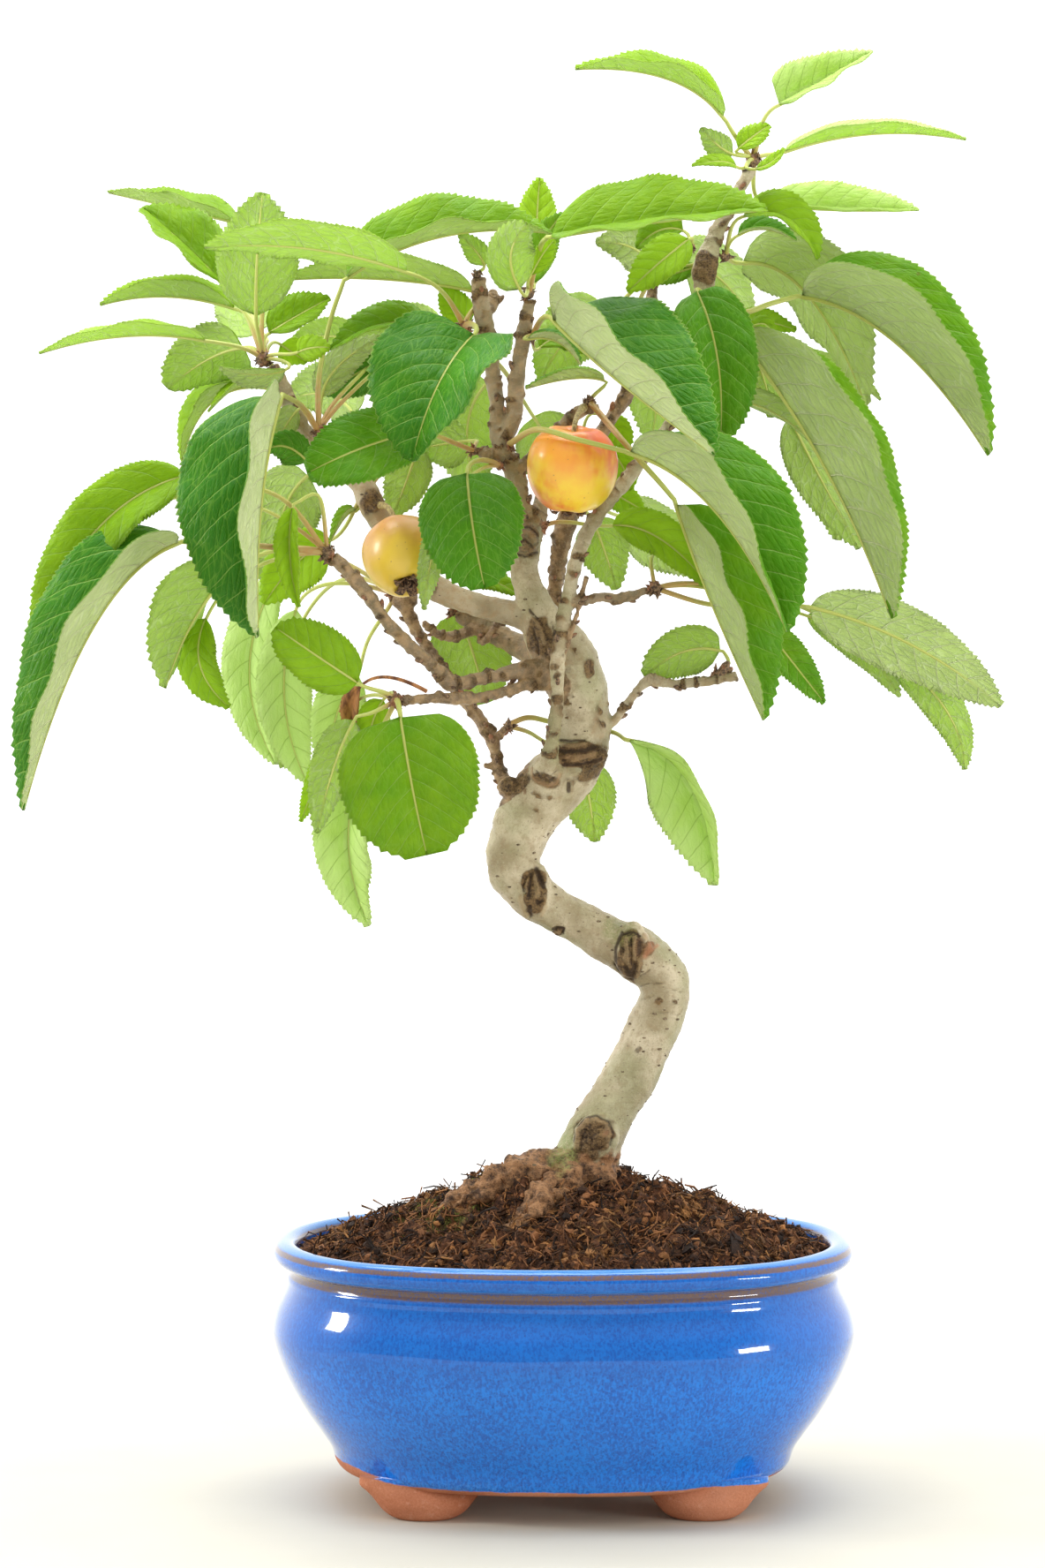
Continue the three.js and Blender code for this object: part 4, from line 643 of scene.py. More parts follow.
bark_finish, wire = new_finish("crabapple_bark")
place = wire.node("TexCoord", output="Object")
brownness, rough, earthy = wire.attribute("bark", "Vector").parts()
depth, raw, mossy = wire.attribute("lines", "Vector").parts()
fine = place.grain(0.75, 5, 0.72)
mottle = place.grain(3.2, 4, 0.6)
broad = place.grain(15, 3)
pale = broad.rise(0.36, 0.64).mix((0.35, 0.28, 0.155), (0.60, 0.51, 0.34))
pale = (mottle.rise(0.48, 0.66) * 0.5).mix(pale, (0.32, 0.225, 0.115))
greenish = place.grain(22, 2).rise(0.44, 0.62) * 0.55
pale = greenish.mix(pale, (0.29, 0.29, 0.13))
pale = (fine.rise(0.52, 0.68) * 0.5).mix(pale, (0.20, 0.15, 0.08))
pale = (fine.rise(0.42, 0.3) * 0.5).mix(pale, (0.64, 0.58, 0.44))
dark = mottle.rise(0.35, 0.65).mix((0.145, 0.08, 0.034), (0.40, 0.255, 0.125))
dark = (fine.rise(0.5, 0.66) * 0.5).mix(dark, (0.42, 0.31, 0.18))
colour = (brownness + mottle * 0.5 - 0.25).rise(0.0, 0.72).mix(pale, dark)
rough_colour = (fine * 0.6 + mottle * 0.4).rise(0.38, 0.60).mix((0.036, 0.018, 0.006), (0.25, 0.15, 0.058))
colour = (rough + mottle * 0.5 - 0.25).rise(0.12, 0.6).mix(colour, rough_colour)
root_colour = (mottle * 0.6 + fine * 0.4).rise(0.38, 0.60).mix((0.055, 0.024, 0.009), (0.36, 0.18, 0.075))
colour = (earthy + mottle * 0.6 - 0.3).rise(0.1, 0.6).mix(colour, root_colour)
colour = (mossy * fine.rise(0.35, 0.6)).mix(colour, (0.20, 0.25, 0.055))
# lighter on the ridges: partly the paler callus, partly a painted highlight
colour = (depth.rise(0.05, 0.6) * 0.45).mix(colour, (0.42, 0.29, 0.14))
colour = (raw * 0.7).mix(colour, (0.42, 0.15, 0.065))
# near black in the creases: painted shade
colour = (depth.rise(-0.1, -0.8) * 0.85).mix(colour, (0.045, 0.024, 0.010))
uneven = mottle * 0.45 + place.stretched(1, 1, 3).grain(1.4, 3) * 0.45
relief = fine * 0.6 + uneven * (rough * 3 + earthy + brownness + 0.8) + depth
wire.on_surface(wire.node("BsdfPrincipled", (), {
    "Base Color": colour,
    "Roughness": (rough + earthy).least(1) * 0.35 + fine * 0.16 + 0.30,
    "Specular IOR Level": 0.45,
    "Normal": relief.bump(0.75, 0.85),
}))

# the stems, each swept along its own line
line_points = []
line_edges = []
girths = []
for brown, places in STEMS:
    start = len(line_points)
    line_points += [at(*spot[:3]) for spot in places]
    girths += [spot[3] * MM for spot in places]
    line_edges += [(start + i, start + i + 1) for i in range(len(places) - 1)]
wood = lines_piece("trunk_roots_and_branches", line_points, line_edges, girths)
swept(wood, 1.2, 18, bark_finish)

# the knobs join them, and one skin goes over all
whole = bmesh.new()
whole.from_mesh(wood.data)
for centre, radius, squash in KNOBS:
    there = Matrix.Translation(at(*centre)) @ Matrix.Diagonal((*squash, 1))
    bmesh.ops.create_icosphere(whole, subdivisions=3, radius=radius * MM, matrix=there)
whole.to_mesh(wood.data)
whole.free()
skinned = wood.modifiers.new("one_skin", "REMESH")
skinned.mode = "VOXEL"
skinned.voxel_size = 0.64 * MM
softened = wood.modifiers.new("softened", "SMOOTH")
softened.factor = 0.5
softened.iterations = 4
finished(wood)

# every point of the skin finds the stem that it lies on
STEM_STEPS = 5
nearest = kdtree.KDTree(sum((STEM_STEPS + 1) * len(places) for brown, places in STEMS))
along_stem = []
for brown, places in STEMS:
    spots = smooth_line([(*at(*spot[:3]), spot[3] * MM) for spot in places], STEM_STEPS)
    steps = np.linalg.norm(np.diff(spots[:, :3], axis=0), axis=1) / MM
    for spot, so_far in zip(spots, np.concatenate([[0], np.cumsum(steps)])):
        nearest.insert(spot[:3], len(along_stem))
        along_stem.append((spot[3], brown, so_far))
nearest.balance()
count = len(wood.data.vertices)
skin_points = np.empty(count * 3)
wood.data.vertices.foreach_get("co", skin_points)
skin_points = skin_points.reshape(-1, 3)
skin_normals = np.empty(count * 3)
wood.data.vertex_normals.foreach_get("vector", skin_normals)
skin_normals = skin_normals.reshape(-1, 3)
lies_on = [
    min((abs(gap - along_stem[i][0]), i) for _, i, gap in nearest.find_n(point, 5))[1]
    for point in skin_points
]
stem_radius, brown, so_far = np.array(along_stem)[lies_on].T.copy()
stem_radius /= MM

# where each point is seen from VIEWPOINT, as x and z in mm, and how far it faces it
reach = (MIDDLE.y - EYE[1]) / (skin_points[:, 1:2] - EYE[1])
seen = (skin_points - EYE) * reach + EYE - np.array(MIDDLE)
seen_x, seen_z = seen[:, 0] / MM, seen[:, 2] / MM
toward = np.clip(-skin_normals[:, 1] * 3, 0, 1)

# how far each point rises, in metres: first the unevenness of the whole tree and of its brown twigs
lift = rumple(skin_points, 9, 0.9) * np.clip(stem_radius / 6, 0.25, 1)
lift += rumple(skin_points, 2.4, 0.34, seed=1)
lift += rumple(skin_points, 1.5, 0.4, seed=6) * brown
# bud scars ring the twigs every few millimetres
RING_GAP = 5.8
RING_HEIGHT = 0.6
rings = np.cos(2 * np.pi * so_far / RING_GAP + rumple(skin_points, 14, 3000, seed=3))
rings = np.clip(rings, 0, 1) ** 6
rings *= np.clip((4.2 - stem_radius) / 1.2, 0, 1)
rings *= np.clip(0.55 + rumple(skin_points, 8, 1500, seed=7), 0, 1)
lift += rings * RING_HEIGHT * MM
# the scars of old leaves and side shoots swell here and there between them
SCAR_HEIGHT = 1.7
scars = np.clip(rumple(skin_points, 3.4, 1000, seed=11) - 0.18, 0, 1)
scars *= np.clip((4.4 - stem_radius) / 1.2, 0, 1)
lift += scars * SCAR_HEIGHT * MM
# the bark is rough over them and in ROUGH_PLACES, and earthy at the foot
rough = np.clip(rings * 0.8 + scars * 1.6, 0, 1)
warp = rumple(skin_points, 3.2, 1000, seed=4)
for x, z, half_x, half_z, turn, strength in ROUGH_PLACES:
    turn = math.radians(turn)
    off_x = (seen_x - x) * math.cos(turn) + (seen_z - z) * math.sin(turn)
    off_z = (seen_z - z) * math.cos(turn) - (seen_x - x) * math.sin(turn)
    off = np.hypot(off_x / half_x, off_z / half_z) + warp * 0.3
    rough = np.maximum(rough, np.clip((1.15 - off) / 0.35, 0, 1) * toward * strength)
lift += rough * rumple(skin_points, 1.7, 1.0, seed=9) * 0.9
earthy = np.clip((119 - seen_z + warp * 5 + np.abs(seen_x - 8) * 0.15) / 8, 0, 1)
lift += earthy * (rumple(skin_points, 6, 3.4, seed=13) + rumple(skin_points, 2.1, 1.6, seed=14))
depth = np.zeros(count)
raw = np.zeros(count)
seen_spots = np.stack([seen_x + warp * 0.35, seen_z + rumple(skin_points, 3, 350, seed=10)], 1)
for height, half, redness, way in CREASES:
    way = np.array(way, float)
    gaps = []
    for first, last in zip(way, way[1:]):
        along = last - first
        share = np.clip((seen_spots - first) @ along / (along @ along), 0, 1)
        gaps.append(np.linalg.norm(seen_spots - first - share[:, None] * along, axis=1))
    near = np.exp(-((np.min(gaps, axis=0) / half) ** 2) * 0.7) * toward
    lift += near * height * 0.8 * MM
    depth += near * np.clip(height * 1.8, -1.2, 1)
    raw = np.maximum(raw, near * redness)
skin_points += skin_normals * lift[:, None]
wood.data.vertices.foreach_set("co", skin_points.ravel())
# moss grows at the foot and a little in the third bend
foot_moss = np.hypot(seen_x + 0.5, (seen_z - 121) * 0.6) + warp * 3
bend_moss = np.hypot(seen_x - 19.5, seen_z - 196)
mossy = np.clip((6.5 - foot_moss) / 4, 0, 0.8) + np.clip((7 - bend_moss) / 5, 0, 0.5)
old = np.clip((stem_radius - 3.2) / 2.5, 0, 1)
mark(wood, "bark", np.stack([brown, rough, earthy], 1))
mark(wood, "lines", np.stack([depth, raw, mossy * toward], 1))
mark(wood, "old", old * (1 - rough) * (1 - earthy))
wood.data.update()

# corky spots, wider than they are high, all over the older bark
spot_finish, wire = new_finish("corky_spots")
place = wire.node("TexCoord", output="Object")
wire.on_surface(wire.node("BsdfPrincipled", (), {
    "Base Color": place.grain(0.8).rise(0.35, 0.65).mix((0.07, 0.045, 0.02), (0.26, 0.19, 0.11)),
    "Roughness": 0.75,
    "Normal": place.grain(0.3).bump(0.15),
}))
plan = Plan("corky_spots", Density=26000.0, Smallest=0.28 * MM, Largest=0.85 * MM)
size = plan.start
thick = plan.maths("MULTIPLY", plan.named("old"), size["Density"])
spots, facing = plan.strewn(size["Geometry"], thick)
upright = {"axis": "X", "pivot_axis": "Z"}
level = plan.node("FunctionNodeAlignRotationToVector", upright, {0: facing, "Vector": (0.0, 0.0, 1.0)})
level = plan.turned(level, (0.0, 0.0, 1.57))
reach = plan.maths("POWER", plan.random(0.0, 1.0, 5), 2.0)
reach = plan.between(size["Smallest"], size["Largest"], reach)
flat_bead = plan.scaled((1.25, 0.6, 0.45), reach)
corky = placed("corky_spots", wood.data.copy())
plan.grow(corky, plan.copies(plan.ball(1), spots, flat_bead, level), spot_finish)

# the skin keeps its fine faces only where it is uneven
thinned = wood.modifiers.new("thinned", "DECIMATE")
thinned.ratio = 0.7
finished(wood)
wood.data.shade_smooth()
for piece in (wood, corky):
    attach(piece, "root")
    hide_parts("trunk_and_branches")


# ---- soil ----
# Peaty potting soil heaped up to the foot of the trunk: a matted heap, with loose crumbs, bark chips
# and root fibres over it, and a little moss where it is dampest, left of the roots.

# in mm how high the soil's edge is, and how far the heap rises over it, fastest where it starts
EDGE_TOP = 85.3
HEAP = 31.5
BULGE = 0.72
# crumbs and fibres fill the last of its height
STREWN = 4.5
FOOT = np.array(MIDDLE) + np.array((6, 0, 0)) * MM
# half width and height up the pot's wall in mm
WALL = [(72.8, 19.9), (79.8, 28), (87.8, 45), (90.7, 62), (91, 74), (91, 80)]
# centre x and y, radius and height of the lumps on the heap in mm
LUMPS = [
    (-24, -6, 9, 6), (-33, -2, 6, 4), (-8, -16, 8, 3), (30, -8, 12, 2), (56, -14, 9, 1.5),
    (-52, -20, 10, 2),
]
# how far the heap is uneven along x, y and z in mm, in lumps of 7 mm and of 2.6 mm
UNEVEN = [(2.2, 1.6), (2.2, 1.6), (5.2, 3.4)]
MOSS_PLACE = np.array((-40, -14, 0)) * MM
MOSS_RADIUS = 15
SIDES = 260
rings = [oval(half, z, SIDES) for half, z in WALL]
edge = oval(WALL[-1][0], EDGE_TOP, SIDES)
shares = np.linspace(0, 0.97, 84)
for inwards in shares:
    ring = edge + (FOOT - edge) * inwards
    ring[:, 2] = (EDGE_TOP + HEAP * inwards**BULGE) * MM
    rings.append(ring)
heap_points = np.vstack(rings)
# 0 against the wall and 1 from a little way in
loose = np.clip(np.repeat(np.concatenate([[0] * len(WALL), shares]), SIDES) / 0.04, 0, 1)
from_middle = heap_points - np.array(MIDDLE)
for x, y, radius, height in LUMPS:
    off = np.hypot(from_middle[:, 0] - x * MM, from_middle[:, 1] - y * MM) / (radius * MM)
    heap_points[:, 2] += height * MM * np.exp(-(off**2)) * loose
for axis, (broad_height, fine_height) in enumerate(UNEVEN):
    uneven = rumple(heap_points, 7, broad_height, seed=5 + axis)
    uneven += rumple(heap_points, 2.6, fine_height, seed=8 + axis)
    heap_points[:, axis] += uneven * loose
heap_points[:, 2] -= STREWN * MM * loose
heap = mesh_piece("soil_heap", heap_points, skin(rings))
mark(heap, "loose", loose)
from_moss = heap_points - np.array(MIDDLE) - MOSS_PLACE
damp = np.hypot(from_moss[:, 0], from_moss[:, 1] * 0.7) / MM
mark(heap, "mossy", np.clip((MOSS_RADIUS + rumple(heap_points, 6, 9000, seed=12) - damp) / 7, 0, 1))

soil_finish, wire = new_finish("peaty_soil")
place = wire.node("TexCoord", output="Object")
crumb = place.grain(1.1, 5, 0.75)
clump = place.grain(5, 3)
colour = (crumb * 0.6 + clump * 0.4).rise(0.36, 0.66).mix((0.018, 0.008, 0.005), (0.17, 0.068, 0.030))
flecks = place.cells(1.8).rise(0.30, 0.15) * place.grain(4).rise(0.5, 0.62)
colour = (flecks * 0.8).mix(colour, (0.42, 0.18, 0.06))
moss_colour = crumb.rise(0.35, 0.65).mix((0.07, 0.065, 0.018), (0.28, 0.25, 0.06))
colour = (wire.attribute("mossy") * clump.rise(0.34, 0.52) * 0.8).mix(colour, moss_colour)
wire.on_surface(wire.node("BsdfPrincipled", (), {
    "Base Color": colour,
    "Roughness": 0.88,
    "Specular IOR Level": 0.25,
    "Normal": (crumb + clump * 0.5).bump(1.2, 0.8),
}))
heap.data.materials.append(soil_finish)

loose_finish, wire = new_finish("loose_crumbs_and_fibres")
place = wire.node("TexCoord", output="Object")
shade = wire.attribute("shade")
fine = place.grain(0.5, 3, 0.7)
patch = place.grain(12, 2).rise(0.50, 0.64)
colour = (shade + fine * 0.5 - 0.25).rise(0.05, 0.88).mix((0.014, 0.006, 0.003), (0.26, 0.105, 0.038))
colour = (patch * shade * 0.8).mix(colour, (0.36, 0.18, 0.058))
colour = (shade + fine * 0.5 - 0.25).rise(0.84, 1.1).mix(colour, (0.42, 0.18, 0.05))
# near black in patches: painted shade, as in hollows between the clumps
colour = (place.grain(4, 2).rise(0.50, 0.60) * 0.75).mix(colour, (0.012, 0.005, 0.003))
wire.on_surface(wire.node("BsdfPrincipled", (), {
    "Base Color": colour,
    "Roughness": 0.8,
    "Specular IOR Level": 0.3,
    "Normal": fine.bump(0.5, 0.6),
}))
moss_finish, wire = new_finish("moss")
place = wire.node("TexCoord", output="Object")
colour = wire.attribute("shade").mix((0.08, 0.09, 0.014), (0.36, 0.38, 0.08))
wire.on_surface(wire.node("BsdfPrincipled", (), {
    "Base Color": colour,
    "Roughness": place.grain(0.6) * 0.2 + 0.6,
    "Normal": place.grain(0.3).bump(0.2),
}))


def crumb_shape(plan):
    return plan.ball(1)


def chip_shape(plan):
    block = {"Size": (3.6, 1.2, 0.6), "Vertices X": 5, "Vertices Y": 3, "Vertices Z": 2}
    return plan.node("GeometryNodeMeshCube", (), block)


def fibre_shape(plan):
    bent = {"Resolution": 3, "Start": (-1.0, 0.0, 0.0), "Middle": (0.1, 0.7, 0.35)}
    line = plan.node("GeometryNodeCurveQuadraticBezier", (), {**bent, "End": (1.0, 0.0, 0.15)})
    section = plan.node("GeometryNodeCurvePrimitiveCircle", (), {"Resolution": 3, "Radius": 0.055})
    return plan.node("GeometryNodeCurveToMesh", (), {0: line, "Profile Curve": section, "Fill Caps": True})


def moss_shape(plan):
    cone = {"Vertices": 4, "Radius Bottom": 0.35, "Depth": 1.8}
    return plan.node("GeometryNodeMeshCone", (), cone, "Mesh")


def scatter(name, finish, where, shape, per_metre, sizes, spread, lie, rough, seed):
    """Copies of a small shape strewn over the heap, as one piece.

    where is the heap's attribute that says how thickly, per_metre is how many to the square metre,
    sizes are the smallest and the largest in mm, spread is above 1 for mostly small ones, lie is
    how flat they lie from 0 to 1, and rough is how far in mm their points are moved."""
    smallest, largest = sizes
    lengths = {"Smallest": smallest * MM, "Largest": largest * MM, "Rough": rough * MM}
    plan = Plan(name, Density=per_metre, **lengths, Seed=seed)
    size = plan.start
    thick = plan.maths("MULTIPLY", plan.named(where), size["Density"])
    spots, facing = plan.strewn(size["Geometry"], thick, size["Seed"])
    reach = plan.maths("POWER", plan.random(0.0, 1.0, seed + 1), spread)
    reach = plan.between(size["Smallest"], size["Largest"], reach)
    scale = plan.scaled(plan.random((0.6, 0.6, 0.6), (1.3, 1.3, 1.3), seed + 2), reach)
    tilt = plan.random((-1.3, -1.3, 0.0), (1.3, 1.3, 6.28), seed + 3)
    flatter = {0: tilt, 1: (1 - lie, 1 - lie, 1)}
    tilt = plan.node("ShaderNodeVectorMath", {"operation": "MULTIPLY"}, flatter)
    turn = plan.turned(facing, plan.node("FunctionNodeEulerToRotation", (), {0: tilt}))
    copies = plan.copies(shape(plan), spots, scale, turn)
    for_each = {"data_type": "FLOAT", "domain": "INSTANCE"}
    shade = {0: copies, "Name": "shade", "Value": plan.random(0.0, 1.0, seed + 4)}
    copies = plan.node("GeometryNodeStoreNamedAttribute", for_each, shade)
    piece = placed(name, heap.data.copy())
    return plan.grow(piece, plan.wobbled(copies, 900.0, size["Rough"]), finish)


strewn = [
    scatter("soil_crumbs", loose_finish, "loose", crumb_shape, 230000.0, (0.35, 2.0), 4.2, 0.3, 2.8, 21),
    scatter("bark_chips", loose_finish, "loose", chip_shape, 7500.0, (0.5, 2.2), 2.2, 0.6, 2.6, 31),
    scatter("large_bark_chips", loose_finish, "loose", chip_shape, 450.0, (1.6, 3.0), 1.0, 0.7, 3.4, 61),
    scatter("root_fibres", loose_finish, "loose", fibre_shape, 278000.0, (1.0, 5.6), 1.8, 0.42, 1.6, 41),
    scatter("moss_leaves", moss_finish, "mossy", moss_shape, 2200000.0, (0.35, 0.8), 1.5, 0.55, 0.3, 51),
]
for piece in (heap, *strewn):
    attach(piece, "root")
    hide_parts("soil")


# ---- apples ----
# Two ripe crabapples with a waxy skin over firm flesh, each on its own woody stalk. The dried sepals
# of the blossom are still in the hollow at the lower end.

# centre, calyx, radius, the stalk's way to its spur, and where the blush lies as seen from the core
APPLES = {
    "apple_right": (
        (3, 354.5, -28), (2, 338, -25), 15.2, [(5, 373, -21), (7, 375.5, -9)], (0.75, -0.2, 0.9),
    ),
    "apple_left": (
        (-55, 324.5, -20), (-53, 314, -28), 13.6, [(-60, 341, -8), (-63.5, 342, 1)], (-0.2, 0.3, 0.9),
    ),
}
APPLE_SIDES = 64
# radius and height of the fruit for a radius of 1, from the calyx hollow round to the stalk's hollow
APPLE_OUTLINE = [
    (0.1, -0.72), (0.24, -0.83), (0.42, -0.905), (0.6, -0.83), (0.8, -0.62), (0.94, -0.33), (1.0, 0.0),
    (0.97, 0.34), (0.83, 0.64), (0.6, 0.85), (0.4, 0.9), (0.22, 0.83), (0.08, 0.66),
]
# how far out and up a sepal runs for a radius of 1, and its half width there
SEPAL = [
    (0.06, -0.76, 0.11), (0.19, -0.87, 0.14), (0.30, -0.98, 0.11), (0.39, -0.96, 0.06),
    (0.44, -0.91, 0.02),
]

stalk_finish, wire = new_finish("apple_stalk")
place = wire.node("TexCoord", output="Object")
grain = place.stretched(1, 1, 0.4).grain(0.7, 4)
wire.on_surface(wire.node("BsdfPrincipled", (), {
    "Base Color": grain.rise(0.35, 0.65).mix((0.16, 0.10, 0.03), (0.42, 0.33, 0.12)),
    "Roughness": grain * 0.2 + 0.5,
    "Normal": grain.bump(0.3),
}))
calyx_finish, wire = new_finish("dry_calyx")
place = wire.node("TexCoord", output="Object")
grain = place.grain(0.8, 5, 0.7)
wire.on_surface(wire.node("BsdfPrincipled", (), {
    "Base Color": grain.rise(0.38, 0.64).mix((0.018, 0.008, 0.005), (0.27, 0.15, 0.075)),
    "Roughness": 0.85,
    "Normal": grain.bump(0.6, 0.9),
}))

for name, (centre, calyx, radius, stalk_way, blush_side) in APPLES.items():
    middle = at(*centre)
    up = (middle - at(*calyx)).normalized()
    upright = up.to_track_quat("Z", "Y").to_matrix()
    outline = smooth_line(APPLE_OUTLINE, 4)
    turns = np.linspace(0, 2 * np.pi, APPLE_SIDES, endpoint=False)
    lobed = 1 + 0.014 * np.cos(5 * turns + 0.7) + 0.012 * np.cos(2 * turns)
    rings = []
    for out, height in outline:
        ends = abs(height) ** 3
        ring = np.stack([
            out * lobed * np.cos(turns),
            out * lobed * np.sin(turns),
            height * (1 + 0.02 * ends * np.cos(5 * turns + 0.7)),
        ], 1)
        rings.append(ring @ np.array(upright).T * radius * MM + np.array(middle))
    fruit = mesh_piece(f"{name}_fruit", np.vstack(rings), skin(rings))
    mark(fruit, "height", np.repeat(outline[:, 1], APPLE_SIDES))
    skin_finish, wire = new_finish(f"{name}_skin")
    place = wire.node("TexCoord", output="Object")
    side = Vector(blush_side).normalized()
    from_core = wire.node("VectorMath", {"operation": "SUBTRACT"}, {0: place, 1: tuple(middle)})
    both = {0: from_core, 1: tuple(side)}
    toward_sun = wire.node("VectorMath", {"operation": "DOT_PRODUCT"}, both, "Value") / (radius * MM)
    streaky = place.stretched(1, 1, 0.35).grain(2.4, 4)
    cloudy = place.grain(9, 3)
    height = wire.attribute("height")
    if name == "apple_right":
        ground = (cloudy + height * 0.5).rise(0.2, 0.85).mix((0.88, 0.60, 0.03), (0.86, 0.34, 0.03))
        blushed = (abs(toward_sun) * 0.8 + streaky * 0.75 + cloudy * 0.8).rise(1.0, 1.7) * 0.9
        colour = blushed.mix(ground, (0.78, 0.11, 0.035))
    else:
        ground = (cloudy * 0.6 + height * 0.5).rise(-0.1, 0.5).mix((0.80, 0.54, 0.05), (0.60, 0.30, 0.055))
        blushed = (toward_sun * 0.7 + streaky * 0.8 + cloudy * 0.6).rise(0.9, 1.6)
        colour = blushed.mix(ground, (0.64, 0.28, 0.12))
    dots = place.cells(2.6).rise(0.13, 0.08) * place.grain(6).rise(0.45, 0.55)
    colour = (dots * 0.6).mix(colour, (0.34, 0.17, 0.05))
    russet = (height + streaky * 0.3).rise(-0.66, -0.84)
    colour = (russet * 0.35).mix(colour, (0.50, 0.40, 0.10))
    wire.on_surface(wire.node("BsdfPrincipled", (), {
        "Base Color": colour,
        "Roughness": cloudy * 0.14 + 0.34,
        "Coat Weight": 0.35,
        "Coat Roughness": 0.22,
        "Normal": (place.grain(0.9, 3) * 0.3 + place.grain(6, 2)).bump(0.35, 0.35),
    }))
    fruit.data.materials.append(skin_finish)

    # five curled sepals and the dry stamens between them
    plate = bmesh.new()
    for i in range(5):
        turn = 2 * math.pi * i / 5 + 0.4
        last = None
        for out, height, half in SEPAL:
            row = []
            for across, thick in [(-1, 0.02), (1, 0.02), (1, -0.02), (-1, -0.02)]:
                curl = 0.03 * math.sin(7 * i + 9 * out)
                spot = Vector((
                    out * math.cos(turn) - across * half * math.sin(turn),
                    out * math.sin(turn) + across * half * math.cos(turn),
                    height + thick + curl,
                ))
                row.append(plate.verts.new(middle + upright @ spot * radius * MM))
            if last is None:
                plate.faces.new(row[::-1])
            else:
                for a in range(4):
                    plate.faces.new((last[a], last[(a + 1) % 4], row[(a + 1) % 4], row[a]))
            last = row
        plate.faces.new(last)
    for i in range(14):
        turn = 2.4 * i
        out = 0.03 + 0.009 * i
        spot = Vector((out * math.cos(turn), out * math.sin(turn), -0.84 - 0.03 * math.sin(5 * i)))
        there = Matrix.Translation(middle + upright @ spot * radius * MM) @ upright.to_4x4()
        bmesh.ops.create_cone(
            plate, cap_ends=True, segments=5, radius1=0.03 * radius * MM, radius2=0.02 * radius * MM,
            depth=0.26 * radius * MM, matrix=there,
        )
    bmesh.ops.recalc_face_normals(plate, faces=plate.faces)
    dry = bpy.data.meshes.new(f"{name}_calyx")
    plate.to_mesh(dry)
    plate.free()
    dry.materials.append(calyx_finish)
    calyx_piece = placed(f"{name}_calyx", dry)

    # the stalk rises from the hollow and swells where it joins the spur
    way = [middle + upright @ Vector((0, 0, rise)) * radius * MM for rise in (0.6, 0.95)]
    way += [at(*spot) for spot in stalk_way]
    line = smooth_line([tuple(spot) for spot in way], 6)
    girth = np.interp(np.linspace(0, 1, len(line)), [0, 0.15, 0.7, 1], [1.15, 0.85, 0.95, 1.5]) * MM
    edges = [(i, i + 1) for i in range(len(line) - 1)]
    stalk_piece = lines_piece(f"{name}_stalk", line.tolist(), edges, girth)
    swept(stalk_piece, 1.0, 12, stalk_finish)
    stalk_piece.data.shade_smooth()
    for piece in (fruit, calyx_piece, stalk_piece):
        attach(piece, "root")
        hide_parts(name)
